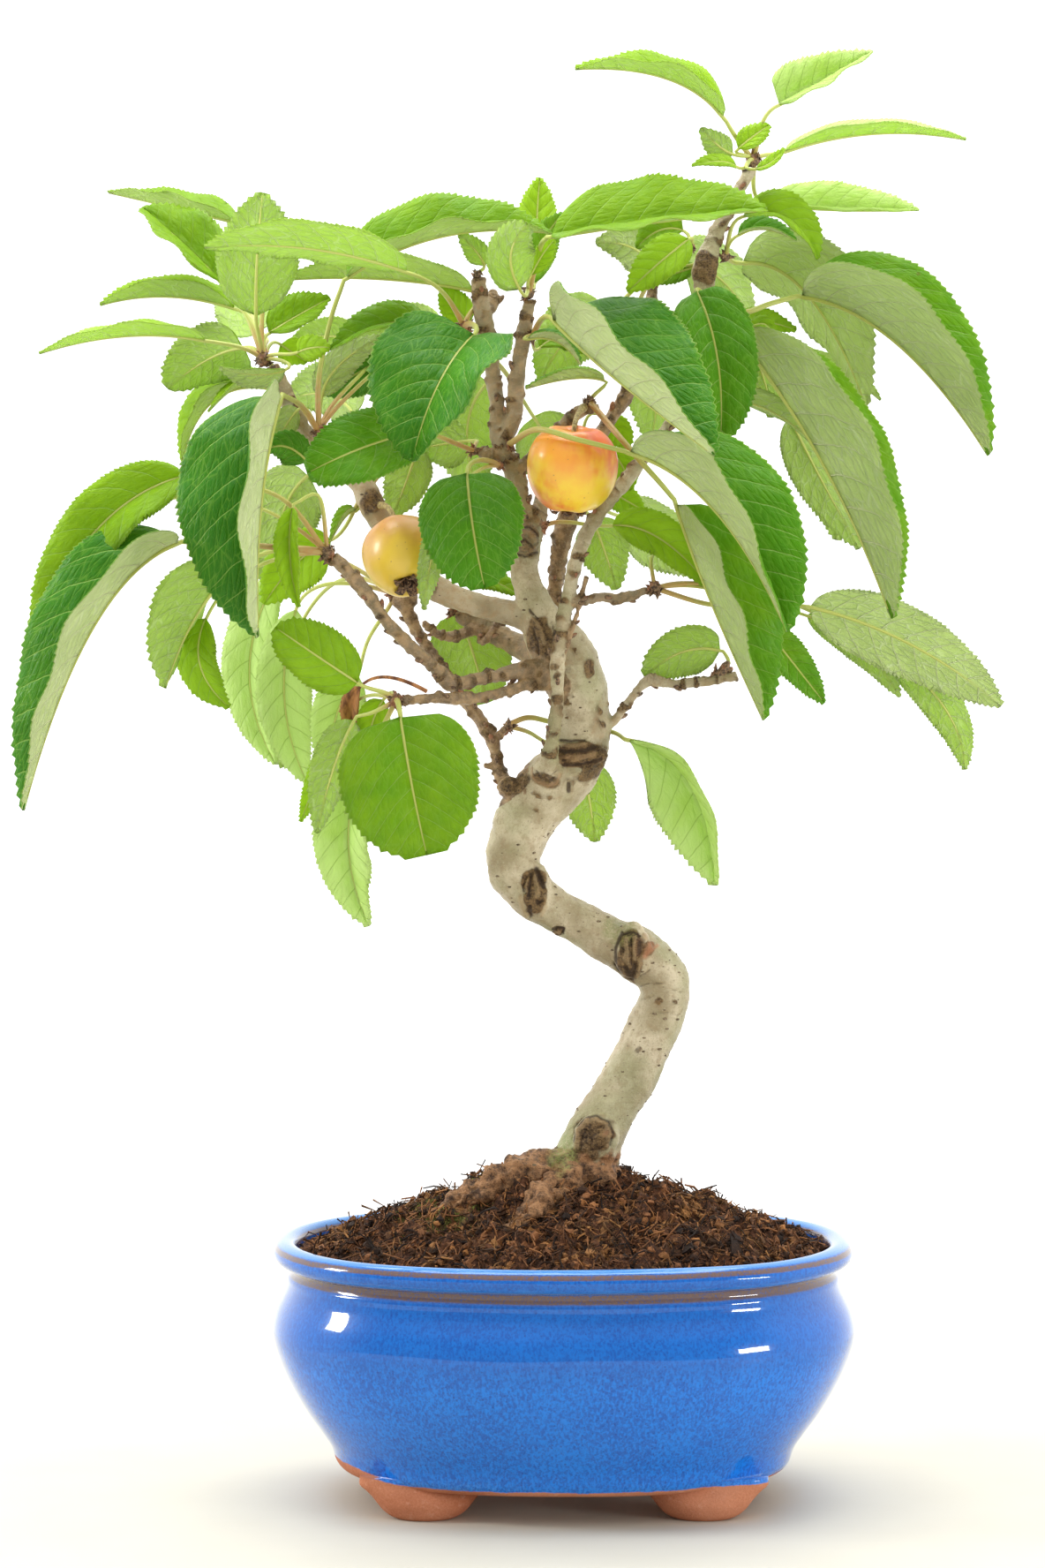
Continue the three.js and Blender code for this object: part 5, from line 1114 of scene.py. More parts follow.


# ---- leaves ----
# Thin living blades on green stalks, in sprays round the spurs and the tips of the shoots. Each has a
# midrib, side veins and a finely toothed, waved margin. The upper face is glossy, the other dull.

# For each spray its spur, then for each leaf three places along the midrib (its base, middle and tip,
# as in STEMS), the half width in mm, the roll about the midrib and the fold of the halves in degrees,
# and the colour from 0, a deep blue-green, to 1.3, a pale yellow-green. The pale end is partly the
# leaves' own colour and partly painted light, the glow of leaves lit from behind. The rarer values have
# names: how drawn out the ends are, where the blade is widest, its twist, and the way its stalk takes.
SPRAYS = {
    "leaves_left_tip": ((-103, 392, 0), [
        ((-104, 402, 45), (-109, 413, 66), (-111, 427, 84), 12, 180, 12, 0.8),
        ((-113, 439, 25), (-132, 443.5, 35), (-156, 449, 45), 10.5, 82, 33, 0.6),
        ((-117, 418, 10), (-131, 432, 16), (-144.5, 443.5, 25), 13.5, 45, 32, 0.55),
        ((-105.5, 407, -8), (-105, 428, -16), (-103, 449, -14), 14.3, 180, 15, 0.95,
         dict(point=1.3)),
        ((-113, 409.5, 15), (-136, 413.5, 20), (-159, 410.5, 20), 11, 85, 38, 0.85),
        ((-123, 398.5, -5), (-150, 400, -8), (-180, 394, -8), 10, 88, 27, 1.05),
        ((-110, 396, 12), (-122, 392, 22), (-136, 382, 30), 12.5, 150, 10, 0.8, dict(point=1)),
        ((-101, 401, 5), (-91, 407, 10), (-80, 413, 12), 8, -35, 25, 0.6),
        ((-97, 397, 22), (-94, 395, 26), (-88, 391, 30), 5, 0, 10, 0.9),
        ((-91, 394.5, -12), (-86, 396, -17), (-80, 396, -19), 4.5, 0, 10, 0.95),
        ((-95.5, 388.5, -12), (-106, 387, -14), (-118, 389.5, -16), 6, 125, -20, 0.5),
        ((-100, 382, 25), (-120, 378, 32), (-131, 357, 38), 11, 75, 35, 0.75),
        ((-99, 385, 18), (-110, 384, 18), (-122, 374, 20), 6, 80, 20, 0.8),
    ]),
    "leaves_left_shoot": ((-84, 367, -5), [
        ((-74, 420, -8), (-42, 434, -10), (-4, 435, -2), 16.5, -68, 38, 0.5,
         dict(via=[(-84, 385, -6), (-80, 405, -7)])),
        ((-97, 379, -40), (-104, 342, -62), (-105, 297, -60), 28, 55, 48, 0.03,
         dict(point=1.3, via=[(-90, 376, -18)])),
        ((-83, 379, 5), (-77, 390, 6), (-62, 400, 4), 6, 180, 20, 0.5),
        ((-91, 375, -8), (-95, 370, -9), (-99, 362, -9), 5, 150, 10, 0.5),
        ((-88, 357, -8), (-95, 362, -12), (-102, 361, -14), 6, 0, 10, 0.15),
        ((-62, 392, 14), (-71, 387, 20), (-82, 380, 24), 8.5, 10, 20, 0.12),
        ((-70, 398, 35), (-80, 400, 42), (-93, 399, 48), 7, 150, 12, 0.8),
    ]),
    "leaves_left_leader": ((-34, 403, -4), [
        ((-54, 422, -35), (-88, 430, -50), (-123, 430, -45), 12, 125, 15, 0.9),
        ((-31, 415.5, 10), (-62, 419.5, 15), (-98, 419, 18), 12, 105, 30, 0.6),
        ((-31, 400, -28), (-43, 383, -50), (-52, 357, -58), 25, 33, 25, 0.08,
         dict(point=1.2, widest=0.38)),
        ((-46, 402, -6), (-62, 404, -8), (-80, 395, -6), 8, 50, 30, 0.45),
        ((-32, 404, 10), (-37, 410, 14), (-42, 417, 16), 5.5, 0, 12, 0.9),
    ]),
    "leaf_left_leader_top": ((-29.5, 421, -2), [
        ((-27, 424, 0), (-30, 429, -4), (-36, 435, -6), 4, 180, 12, 0.9),
    ]),
    "leaves_middle_top": ((-12, 414.5, -3), [
        ((-15, 416, -26), (-18, 428, -36), (-12, 438, -38), 8, 180, 10, 0.95, dict(point=0.9)),
        ((-11, 421, -14), (-7, 428, -16), (-3, 433, -16), 4, 30, 12, 0.85),
        ((-9, 425, 30), (-9, 440, 36), (-8, 454, 40), 7, 0, 12, 0.9),
        ((-10, 418, 8), (-8, 430, 14), (0, 442, 18), 6, 0, 12, 0.4),
        ((-4, 434, -30), (32, 439, -36), (70, 443, -34), 18, -60, 28, 0.55,
         dict(point=1.2, via=[(-8, 430, -18)])),
    ]),
    "leaves_middle": ((-10.5, 400, -4), [
        ((-3, 405, -28), (18, 385.5, -58), (52, 359, -80), 29, -62, 52, 0.12, dict(point=1.3)),
        ((-12, 399, -14), (-2, 398, -16), (6, 390, -18), 4, -80, 45, 0.15),
        ((-8, 396, 10), (0, 399, 14), (9, 393, 14), 5, -30, 12, 0.5),
    ]),
    "leaves_behind_top": ((31.5, 420, 14), [
        ((41, 424, 45), (53, 420, 62), (65, 405, 72), 13, 160, 12, 0.6),
        ((27, 402, 50), (32, 386, 70), (30, 362, 84), 14, 180, 12, 0.7),
        ((14, 408, 44), (2, 400, 62), (-8, 384, 74), 12, 180, 12, 0.7),
        ((31, 422, 15), (24, 430, 22), (11, 432, 26), 8, 170, 12, 0.45),
        ((46, 424, 10), (37, 421, 12), (27, 418.5, 12), 3.4, 10, 12, 0.4),
    ]),
    "leaves_right_knob": ((55.5, 427, 5), [
        ((62, 441, 8), (77, 440, 4), (87, 426, 2), 9, -50, 30, 0.75),
        ((60, 434.5, -4), (69, 436.5, -8), (80, 432.5, -10), 4.5, -60, 40, 0.25),
        ((62, 425, 24), (84, 414, 32), (104, 376, 38), 20, -135, 20, 0.4),
    ]),
    "leaves_left_of_knob": ((44, 430, -1), [
        ((43, 433, -8), (33, 425, -12), (22, 415, -12), 7.5, 20, 12, 0.85),
        ((41, 436, 2), (33, 436, 4), (25, 430, 6), 6, 20, 12, 0.5),
    ]),
    "leaves_right": ((52, 409, -1), [
        ((82, 413.5, 10), (114, 398, 0), (146, 359, -2), 26, -73, 58, 0.35,
         dict(via=[(62, 408, 2), (71, 411, 6)])),
        ((60, 400, -8), (90, 355, -28), (113, 303, -30), 24, -80, 62, 0.4),
        ((46, 415, -10), (53, 392, -22), (54, 364, -26), 14, -5, 15, 0.25, dict(point=1)),
        ((60, 404, 20), (68, 405, 24), (80, 402, 28), 5, -30, 12, 0.7),
        ((63, 402, -2), (69, 404, -2), (72, 399, -4), 3, -30, 12, 0.7),
        ((62, 400, 14), (68, 388, 18), (72, 372, 20), 10, 180, 12, 0.9),
    ]),
    "leaves_right_low": ((42, 381, -4), [
        ((50, 376, -5), (70, 375, -5), (92, 357, -2), 7, -120, 20, 0.6),
        ((78, 372, 10), (88, 352, 14), (102, 327, 16), 9, 170, 15, 0.7),
        ((80, 395, 57), (95, 388, 61), (109, 378, 64), 8, -100, 20, 0.5),
    ]),
    "leaves_top": ((65, 460, 6), [
        ((54.5, 475, -5), (35, 488, -8), (4, 491, -8), 12, 82, 33, 0.8, dict(via=[(59, 468, 0)])),
        ((74, 479, 0), (89, 487, 2), (106, 497, 4), 11, -45, 38, 1.15, dict(point=1.1, widest=0.25)),
        ((76, 463, 10), (106, 469, 12), (138, 467, 14), 9, -85, 30, 1.2),
        ((70, 445, 20), (95, 443, 24), (122, 443, 28), 11, -60, 30, 1.1),
        ((58, 462, -6), (53, 465, -8), (47, 471, -8), 4.5, 180, 12, 0.85),
        ((60, 464, -3), (65, 468, -2), (70.5, 472, 0), 4.5, -30, 12, 0.9),
        ((59, 458, -12), (53, 459.5, -16), (44, 458, -18), 4, 60, 12, 0.85),
        ((66, 457, -12), (71, 459, -13), (76, 464, -14), 3.5, -60, 12, 0.85),
    ]),
    "leaf_over_apple": ((-18.5, 363, -7), [
        ((23, 360, -42), (52, 340.5, -52), (77, 298.5, -56), 24.5, -64, 49, 0.25,
         dict(twist=50, widest=0.48, via=[(-9, 368, -36), (5, 364.5, -43)])),
    ]),
    "leaves_left_stub": ((-30.5, 360.5, -5), [
        ((-50, 367, -30), (-68, 362, -48), (-88, 353, -50), 12.5, 20, 10, 0.28,
         dict(point=1, widest=0.5, via=[(-44, 366, -20)])),
        ((-33, 364, 12), (-41, 363, 16), (-51, 361, 20), 8.5, 180, 12, 0.8),
    ]),
    "leaves_left_apple": ((-22, 355.5, -8), [
        ((-33, 352.5, -30), (-31, 334, -44), (-27, 313.5, -48), 17.5, 5, 6, 0.2, dict(point=0.95)),
        ((-40, 340, -36), (-45, 325, -38), (-48, 306, -36), 4.5, 180, 12, 0.85),
    ]),
    "leaves_right_apple": ((9, 377.5, -8), [
        ((39, 342, -20), (51, 309, -24), (69, 268, -26), 25, -60, 49, 0.35,
         dict(via=[(24, 360, -24), (33, 350, -25)])),
        ((14, 385, -6), (3, 385.5, -8), (-13, 382, -10), 5.5, 85, 40, 0.45),
    ]),
    "leaf_low_right": ((-6.5, 335, -10), [
        ((17, 335, -11), (34, 330, -12), (52, 312, -14), 8, -20, 20, 0.8),
    ]),
    "leaves_side_twig": ((31.5, 313.5, -20), [
        ((85, 307, -10), (119, 294.5, -5), (151, 273, 0), 12, 180, 8, 0.45,
         dict(point=1.3, via=[(50, 308, -8), (68, 307, -6)])),
        ((84, 304, 5), (102, 294, 8), (116, 276, 10), 6, 180, 12, 0.75),
        ((110, 292, 8), (131, 273, 12), (138.5, 251, 16), 7, 180, 12, 0.85),
        ((68, 302, -6), (79, 288, -4), (90, 274, -2), 6.5, -20, 15, 0.3),
        ((37, 330, -3), (42, 331, -1), (49, 328, 1), 5, -40, 12, 0.2, dict(via=[(30.5, 324, -12)])),
    ]),
    "leaf_right_twig": ((53, 284.5, -9), [
        ((54, 292, -5), (41, 291.5, -4), (28, 283, -2), 8.5, 180, 8, 0.85,
         dict(point=1, via=[(57, 287.5, -8)])),
    ]),
    "leaf_trunk_right": ((-18.8, 266.6, 0), [
        ((23, 261, -8), (44, 246, -16), (53, 211, -18), 16, 40, 40, 1.2,
         dict(point=1.7, widest=0.55, via=[(-12, 269, 6), (-4, 267.5, 12), (6, 266, 14), (17, 264, 3)])),
    ]),
    "leaf_trunk_back": ((-18.8, 266, 0), [
        ((6, 254, 25), (9, 241, 26), (11, 226, 26), 9.5, 180, 8, 1,
         dict(via=[(-12, 264, 8), (-6, 260.5, 15)])),
    ]),
    "leaves_behind_stem": ((5, 340, 17), [
        ((10, 337, 24), (14, 327, 28), (18.5, 313, 30), 9, 180, 8, 0.95),
        ((14, 372, 22), (19, 367, 23), (22, 361, 24), 5, 0, 12, 0.8),
        ((17, 360, 28), (21, 354, 29), (23, 347, 30), 5, 0, 12, 0.8),
        ((14, 348, 36), (21, 344, 38), (28, 340, 40), 5, 0, 12, 0.8),
        ((20, 338, 50), (34, 331, 66), (49, 318, 74), 12, 160, 12, 0.6),
    ]),
    "leaves_far_left": ((-81, 325.5, -38), [
        ((-133, 329, -45), (-162, 300, -58), (-186, 237, -50), 22, 67, 43, 0.1,
         dict(via=[(-104, 328, -42)])),
        ((-130, 352, -38), (-160, 334, -45), (-183, 296, -40), 12, 25, 20, 0.65,
         dict(via=[(-98, 345, -38)])),
        ((-131, 345, -26), (-145, 341, -24), (-160, 330, -22), 5, 110, 12, 0.85),
        ((-93, 341, -40), (-94, 325, -44), (-91, 307, -42), 5.5, 20, 40, 0.8,
         dict(via=[(-84, 345, -38)])),
        ((-114, 319, -25), (-127, 303, -28), (-137, 279, -28), 16, 130, 35, 0.8),
        ((-123, 303, -15), (-125, 287, -16), (-115, 272.5, -14), 8, 30, 12, 0.75),
    ]),
    "leaves_low_left": ((-57.5, 275, -40), [
        ((-56, 269, -52), (-52, 245, -60), (-47, 221.5, -62), 23.5, 8, 8, 0.45,
         dict(point=0.85, widest=0.42)),
        ((-71, 281, -46), (-86, 291, -50), (-99, 300, -48), 10.5, 10, 12, 0.65, dict(point=1)),
        ((-72, 268, -30), (-79, 252, -28), (-85, 229, -22), 8, 165, 15, 0.9,
         dict(via=[(-65, 271, -36)])),
        ((-62, 275, -26), (-65.5, 268, -24), (-67.5, 258.5, -22), 5.5, 0, 12, 0.9),
        ((-76, 268, -16), (-84, 250, -12), (-90.5, 233, -10), 4, 0, 12, 0.9),
        ((-69, 250, -14), (-74, 225, -8), (-67, 197, -6), 12, 25, 30, 1.2,
         dict(via=[(-63, 264, -28)])),
    ]),
    "leaves_left_spur": ((-58, 311.5, 14), [
        ((-98, 318, 40), (-108, 285, 50), (-99, 253, 50), 10, 20, 12, 1.3),
        ((-92, 306, 30), (-96, 275, 40), (-88, 246, 42), 10, 0, 12, 1.25),
        ((-71, 284, 18), (-78, 270, 22), (-82, 250, 24), 9, 0, 12, 1.15,
         dict(via=[(-60, 307, 15), (-67, 296, 16)])),
        ((-91, 300, 80), (-99, 275, 92), (-96, 252, 96), 12, 170, 12, 0.7),
    ]),
    "leaves_behind_leader": ((-26, 392, 4.5), [
        ((-41, 401, 45), (-56, 399, 66), (-72, 388, 80), 12, 160, 12, 0.6),
        ((-26, 384, 48), (-33, 368, 66), (-29, 345, 76), 14, 180, 12, 0.7),
        ((-10, 372, 44), (-3, 358, 60), (3, 338, 66), 12, 180, 12, 0.7),
    ]),
    "leaves_behind_right": ((41, 382, 4), [
        ((62, 390, 48), (80, 383, 66), (96, 366, 78), 13, 160, 12, 0.65, dict(via=[(50, 385, 32)])),
        ((88, 374, 52), (94, 352, 66), (94, 330, 74), 12, 180, 12, 0.65,
         dict(via=[(56, 378, 34), (76, 384, 48)])),
    ]),
    "leaves_behind_branch": ((-68, 346, 8), [
        ((-50, 362, 14), (-54, 350, 18), (-59, 338, 20), 8, 180, 12, 0.8),
        ((-80, 330, 12), (-92, 322, 18), (-103, 308, 22), 10, 0, 12, 0.9),
        ((-72, 340, 8), (-75, 338, 6), (-80, 330, 2), 4, 70, 35, 0.5),
        ((-88, 352, 42), (-97, 337, 58), (-100, 310, 64), 13, 180, 12, 0.6),
        ((-72, 373, 40), (-81, 380, 60), (-95, 378, 76), 12, 160, 12, 0.6),
    ]),
    "leaves_dead_spur": ((-38, 305.5, 20.5), [
        ((-36, 306, 26), (-31, 291, 28), (-26, 274, 28), 14, 180, 8, 0.9, dict(point=1.1)),
        ((-38, 318, 20), (-27, 317, 22), (-15, 311, 22), 6, -40, 12, 0.55),
    ]),
}
# in mm how thick a blade is, the widest radius of a stalk, and how far behind the rest of the upper
# face the midrib lies
BLADE_THICK = 0.35
STALK_RADIUS = 0.8
MIDRIB_DEPTH = 0.22


def spray(name, leaves, chance):
    """All blades of a spray as one piece, with what its finishes read at every point."""
    points, faces, finishes, veins, extra = [], [], [], [], []
    for leaf in leaves:
        values, more = read_leaf(leaf)
        more = {key: value for key, value in more.items() if key != "via"}
        part = blade(*values, chance, **more)
        start = sum(map(len, points))
        points.append(part[0])
        faces += [[start + i for i in face] for face in part[1]]
        finishes += part[2]
        veins.append(part[3])
        extra.append(part[4])
    piece = mesh_piece(name, np.vstack(points), faces)
    piece.data.polygons.foreach_set("material_index", finishes)
    mark(piece, "veins", np.vstack(veins))
    mark(piece, "blade", np.vstack(extra))
    return piece


def read_leaf(leaf):
    """The values of a leaf in SPRAYS, and the rarer ones by name."""
    return (leaf[:-1], leaf[-1]) if isinstance(leaf[-1], dict) else (leaf, {})


def rib_frames(share, base, middle, tip, roll, twist):
    """Places along a midrib, and the way along it, to its right and out of the upper face there."""
    base, middle, tip = (np.array(at(*spot)) for spot in (base, middle, tip))
    pull = 2 * middle - (base + tip) / 2
    s = share[:, None]
    spot = (1 - s) ** 2 * base + 2 * s * (1 - s) * pull + s**2 * tip
    along = unit(2 * (1 - s) * (pull - base) + 2 * s * (tip - pull))
    across = unit(np.cross(along, EYE - spot))
    facing = np.cross(across, along)
    turn = np.radians(roll + twist * (s - 0.5))
    side = across * np.cos(turn) - facing * np.sin(turn)
    normal = facing * np.cos(turn) + across * np.sin(turn)
    return spot, along, side, normal


def unit(vectors):
    return vectors / np.linalg.norm(vectors, axis=1, keepdims=True)


def blade(base, middle, tip, half, roll, fold, tone, chance, point=1.4, widest=0.42, twist=0):
    """A closed thin blade: points, faces, finishes, and what the finishes read."""
    line = rib_frames(np.linspace(0, 1, 41), base, middle, tip, roll, twist)[0]
    arc = np.concatenate([[0], np.cumsum(np.linalg.norm(np.diff(line, axis=0), axis=1))]) / MM
    length = arc[-1]
    rows = max(10, round(length / (1.25 + min(half, 25) / 25)))
    columns = min(max(round(half / 2.4), 3), 11)
    vein_gap = 2 + length / 11
    wave_phase = chance.uniform(0, 6.28, 2)
    wave_length = 9 + length / 5
    wave_height = chance.uniform(0.6, 1.3) * min(half / 16, 1.3)
    fold = math.radians(fold)

    def spot(step, q, out=0):
        """The middle of the blade at a half step along it, and q of the way to either margin."""
        share = np.clip(step / (2 * rows), 0, 1)
        place, along, side, normal = rib_frames(share, base, middle, tip, roll, twist)
        right = np.where(q < 0, -1.0, 1.0)
        rise = np.clip(share / widest, 0, None) ** (point * widest)
        fall = np.clip((1 - share) / (1 - widest), 0, None) ** (point * (1 - widest))
        width = np.maximum(half * rise * fall, 0.3) + out
        off = abs(q) * width
        at_arc = np.interp(share, np.linspace(0, 1, 41), arc)
        phase = (at_arc - off * 0.62 - off**2 * 0.42 / half) / vein_gap
        puff = np.abs(np.cos(np.pi * (phase + np.where(q < 0, 0.5, 0)))) ** 0.8
        puff = puff * (0.9 + 0.1 * np.sin(off * 1.3 + phase * 3))
        lift = 0.75 * puff * min(half / 16, 1) * np.sin(np.pi * np.clip(abs(q), 0, 1)) ** 0.6
        lift += 0.10 * width * (1 - abs(q)) * abs(q) * 2
        wave = np.sin(6.28 * at_arc / wave_length + np.where(q < 0, *wave_phase))
        lift += wave * wave_height * q**2 * np.sin(np.pi * np.clip(share, 0.02, 0.98)) ** 0.5
        lift -= MIDRIB_DEPTH * (abs(q) < 1e-6)
        way = side * (right * math.cos(fold))[:, None] + normal * math.sin(fold)
        face = normal * math.cos(fold) - side * (right * math.sin(fold))[:, None]
        face = np.where((abs(q) < 1e-6)[:, None], normal, face)
        shift = way * off[:, None] + face * lift[:, None] + along * np.asarray(out)[..., None]
        centre = place + MM * shift
        veins = np.stack([off * right, phase, share], 1)
        extra = np.stack([abs(q), 0 * q + tone, 0 * q], 1)
        return centre, face, veins, extra

    inner_q = np.arange(-columns + 1, columns) / columns
    step_grid, q_grid = np.meshgrid(np.arange(rows + 1) * 2, inner_q, indexing="ij")
    inner = spot(step_grid.ravel(), q_grid.ravel())
    rim_step = np.arange(2 * rows + 1)
    parts = [inner]
    for right in (1, -1):
        teeth = (rim_step % 2) * chance.uniform(0.35, 0.95, len(rim_step)) * min(0.45 + half / 25, 1.1)
        parts.append(spot(rim_step, np.full(len(rim_step), float(right)), teeth))
    centre, face, veins, extra = (np.vstack([part[i] for part in parts]) for i in range(4))
    half_thick = face * BLADE_THICK / 2 * MM
    total = len(centre)
    across = len(inner_q)
    grid = np.arange((rows + 1) * across).reshape(rows + 1, across)
    rims = {1: grid.size + rim_step, -1: grid.size + len(rim_step) + rim_step}
    corners = [grid[:-1, :-1], grid[:-1, 1:], grid[1:, 1:], grid[1:, :-1]]
    quads = np.stack(corners, -1).reshape(-1, 4).tolist()
    edges = []
    for right, rim in rims.items():
        inside = grid[:, -1] if right == 1 else grid[:, 0]
        for i in range(rows):
            a, b, c = rim[2 * i], rim[2 * i + 1], rim[2 * i + 2]
            three = [(inside[i], a, b), (inside[i], b, inside[i + 1]), (inside[i + 1], b, c)]
            quads += [face if right == 1 else face[::-1] for face in three]
        walls = [(k, k + total, k + total + 1, k + 1) for k in rim[:-1]]
        edges += [wall if right == 1 else wall[::-1] for wall in walls]
    for row, end in ((rows, 1), (0, -1)):
        ends = [rims[-1][row * 2], *grid[row], rims[1][row * 2]]
        walls = [(a, b, b + total, a + total) for a, b in zip(ends, ends[1:])]
        edges += [wall if end == 1 else wall[::-1] for wall in walls]
    # the lower skin splits along the same diagonals, so it can't come through the upper one
    under = [[quad[0] + total, *(i + total for i in quad[:0:-1])] for quad in quads]
    return (
        np.vstack([centre + half_thick, centre - half_thick]),
        quads + under + edges,
        [0] * len(quads) + [1] * len(under) + [0] * len(edges),
        np.vstack([veins, veins]),
        np.vstack([extra, extra]),
    )


def stalk_way(spur, base, middle, tip, half, roll, twist=0, via=()):
    """Where a stalk runs, from the spur to the blade and on along its underside as the midrib, and how
    thick it is there."""
    share = np.linspace(0, 0.97, 4 + round(half / 2))
    rib, along, _, normal = rib_frames(share, base, middle, tip, roll, twist)
    radius = STALK_RADIUS * min(0.55 + half / 45, 1) * MM
    taper = radius * (1 - 0.72 * share)
    start = np.array(at(*spur))
    reach = np.linalg.norm(rib[0] - start)
    if via:
        free = smooth_line([start, *(at(*place) for place in via), rib[0] - along[0] * 1.5 * MM], 5)
    else:
        rising = start + (rib[0] - start) * 0.3 + np.array((0, 0, 0.14)) * reach
        arriving = rib[0] - along[0] * 0.4 * reach
        s = np.linspace(0, 0.9, 10)[:, None]
        free = (1 - s) ** 3 * start + 3 * (1 - s) ** 2 * s * rising
        free += 3 * (1 - s) * s**2 * arriving + s**3 * rib[0]
    route = np.vstack([free, rib - normal * (taper * 0.35)[:, None]])
    return route, np.concatenate([np.linspace(1.4, 1, len(free)) * radius, taper])


def stalks_of(name, spur, leaves, finish):
    """The stalks and midribs of a spray, swept as one piece."""
    routes, edges, girths, marks = [], [], [], []
    for leaf in leaves:
        (base, middle, tip, half, roll, _, tone), more = read_leaf(leaf)
        more = {key: value for key, value in more.items() if key in ("twist", "via")}
        route, girth = stalk_way(spur, base, middle, tip, half, roll, **more)
        start = sum(map(len, routes))
        edges += [(start + i, start + i + 1) for i in range(len(route) - 1)]
        routes.append(route)
        girths.append(girth)
        far = np.linspace(0, 1, len(route))
        marks.append(np.stack([far, 0 * far + tone, 0 * far], 1))
    piece = lines_piece(name, np.vstack(routes).tolist(), edges, np.concatenate(girths))
    mark(piece, "stalk", np.vstack(marks))
    swept(piece, 1.8, 8, finish)
    piece.data.shade_smooth()
    return piece


def leaf_pattern(wire):
    """What both faces of a blade share: where it is, and masks of its veins, from the widest down."""
    place = wire.node("TexCoord", output="Object")
    veins = wire.attribute("veins", "Vector")
    off, phase, share = veins.parts()
    rim, tone, _ = wire.attribute("blade", "Vector").parts()
    left = off.rise(0.001, -0.001)
    bent = phase + left * 0.5 + place.grain(9, 2) * 0.25
    between = abs(bent.fraction() - 0.5) * 2
    side_vein = between.rise(0.925, 0.985) * rim.rise(1.0, 0.8)
    forks = abs((bent * 2 + rim * 0.8).fraction() - 0.5).rise(0.45, 0.49) * rim.rise(0.55, 0.75)
    middle_vein = abs(off).rise(0.62, 0.25) * share.rise(1.05, 0.4)
    on_leaf = veins.stretched(0.46 * MM, 1.25 * MM, 0)
    edge = on_leaf.cells(1, "DISTANCE_TO_EDGE")
    net = edge.rise(0.07, 0.0) * rim.rise(0.02, 0.12)
    swell = edge.rise(0.0, 0.3) * 0.4 + (1 - between * between)
    finer = on_leaf.stretched(3.3, 3.3, 0).cells(1, "DISTANCE_TO_EDGE")
    felt = finer.rise(0.14, 0.0) * rim.rise(0.02, 0.12)
    return place, rim, tone, side_vein.most(forks * 0.45), middle_vein, net, felt, swell


upper, wire = new_finish("leaf_upper_face")
place, rim, tone, side_vein, middle_vein, net, felt, swell = leaf_pattern(wire)
here = tone + (place.grain(16, 2) - 0.5) * 0.4
colour = here.rise(0.0, 0.3).mix((0.024, 0.155, 0.007), (0.060, 0.225, 0.002))
colour = here.rise(0.25, 0.6).mix(colour, (0.20, 0.36, 0.006))
colour = here.rise(0.55, 0.98).mix(colour, (0.32, 0.53, 0.02))
# the palest yellow-green, at the top of tone, is partly painted light: the washed-out glow of leaves lit
# from behind
colour = here.rise(0.95, 1.25).mix(colour, (0.63, 0.80, 0.31))
grown = here.rise(0.95, 0.6)
colour = (grown * place.grain(2.4, 3).rise(0.35, 0.65) * 0.2).mix(colour, (0.04, 0.16, 0.004))
colour = (grown * felt * 0.10).mix(colour, (0.22, 0.42, 0.05))
colour = (grown * net * 0.28).mix(colour, (0.22, 0.42, 0.05))
colour = (side_vein * 0.55).mix(colour, (0.33, 0.52, 0.10))
colour = (middle_vein * 0.8).mix(colour, (0.47, 0.60, 0.12))
colour = (rim.rise(0.97, 1.0) * 0.4).mix(colour, (0.42, 0.56, 0.12))
blemish = place.cells(9).rise(0.10, 0.05) * place.grain(31).rise(0.58, 0.66)
colour = (blemish * 0.7).mix(colour, (0.13, 0.09, 0.02))
relief = swell * 0.55 - side_vein * 0.3 - middle_vein * 0.5 - felt * 0.08 + place.grain(0.6, 3) * 0.1
surface = wire.node("BsdfPrincipled", (), {
    "Base Color": colour,
    "Roughness": place.grain(5, 3).rise(0.3, 0.7) * 0.16 + 0.28,
    "Specular IOR Level": 0.15,
    "Normal": relief.bump(0.9, 0.75),
})
lit_through = wire.node("BsdfTranslucent", (), {"Color": (0.60, 0.84, 0.06)})
passing = (tone * 0.32 + 0.06).least(0.36) - side_vein * 0.05
wire.on_surface(wire.node("MixShader", (), {0: passing, 1: surface, 2: lit_through}))

lower, wire = new_finish("leaf_underside")
place, rim, tone, side_vein, middle_vein, net, felt, swell = leaf_pattern(wire)
colour = tone.mix((0.70, 0.79, 0.37), (0.49, 0.69, 0.10))
colour = (place.grain(12, 3).rise(0.35, 0.65) * 0.5).mix(colour, (0.50, 0.64, 0.19))
colour = (felt * 0.3).mix(colour, (0.74, 0.82, 0.46))
colour = (net * 0.6).mix(colour, (0.78, 0.85, 0.50))
colour = (side_vein * 0.95).mix(colour, (0.88, 0.92, 0.52))
colour = (middle_vein * 0.8).mix(colour, (0.62, 0.62, 0.20))
relief = side_vein * 0.5 + net * 0.3 + felt * 0.15 - swell * 0.5 + place.grain(0.5, 3) * 0.15
surface = wire.node("BsdfPrincipled", (), {
    "Base Color": colour,
    "Roughness": place.grain(4, 3).rise(0.3, 0.7) * 0.15 + 0.6,
    "Specular IOR Level": 0.3,
    "Sheen Weight": 0.15,
    "Normal": relief.bump(1, 0.9),
})
lit_through = wire.node("BsdfTranslucent", (), {"Color": (0.66, 0.88, 0.14)})
passing = (tone * 0.3 + 0.22).least(0.46)
wire.on_surface(wire.node("MixShader", (), {0: passing, 1: surface, 2: lit_through}))

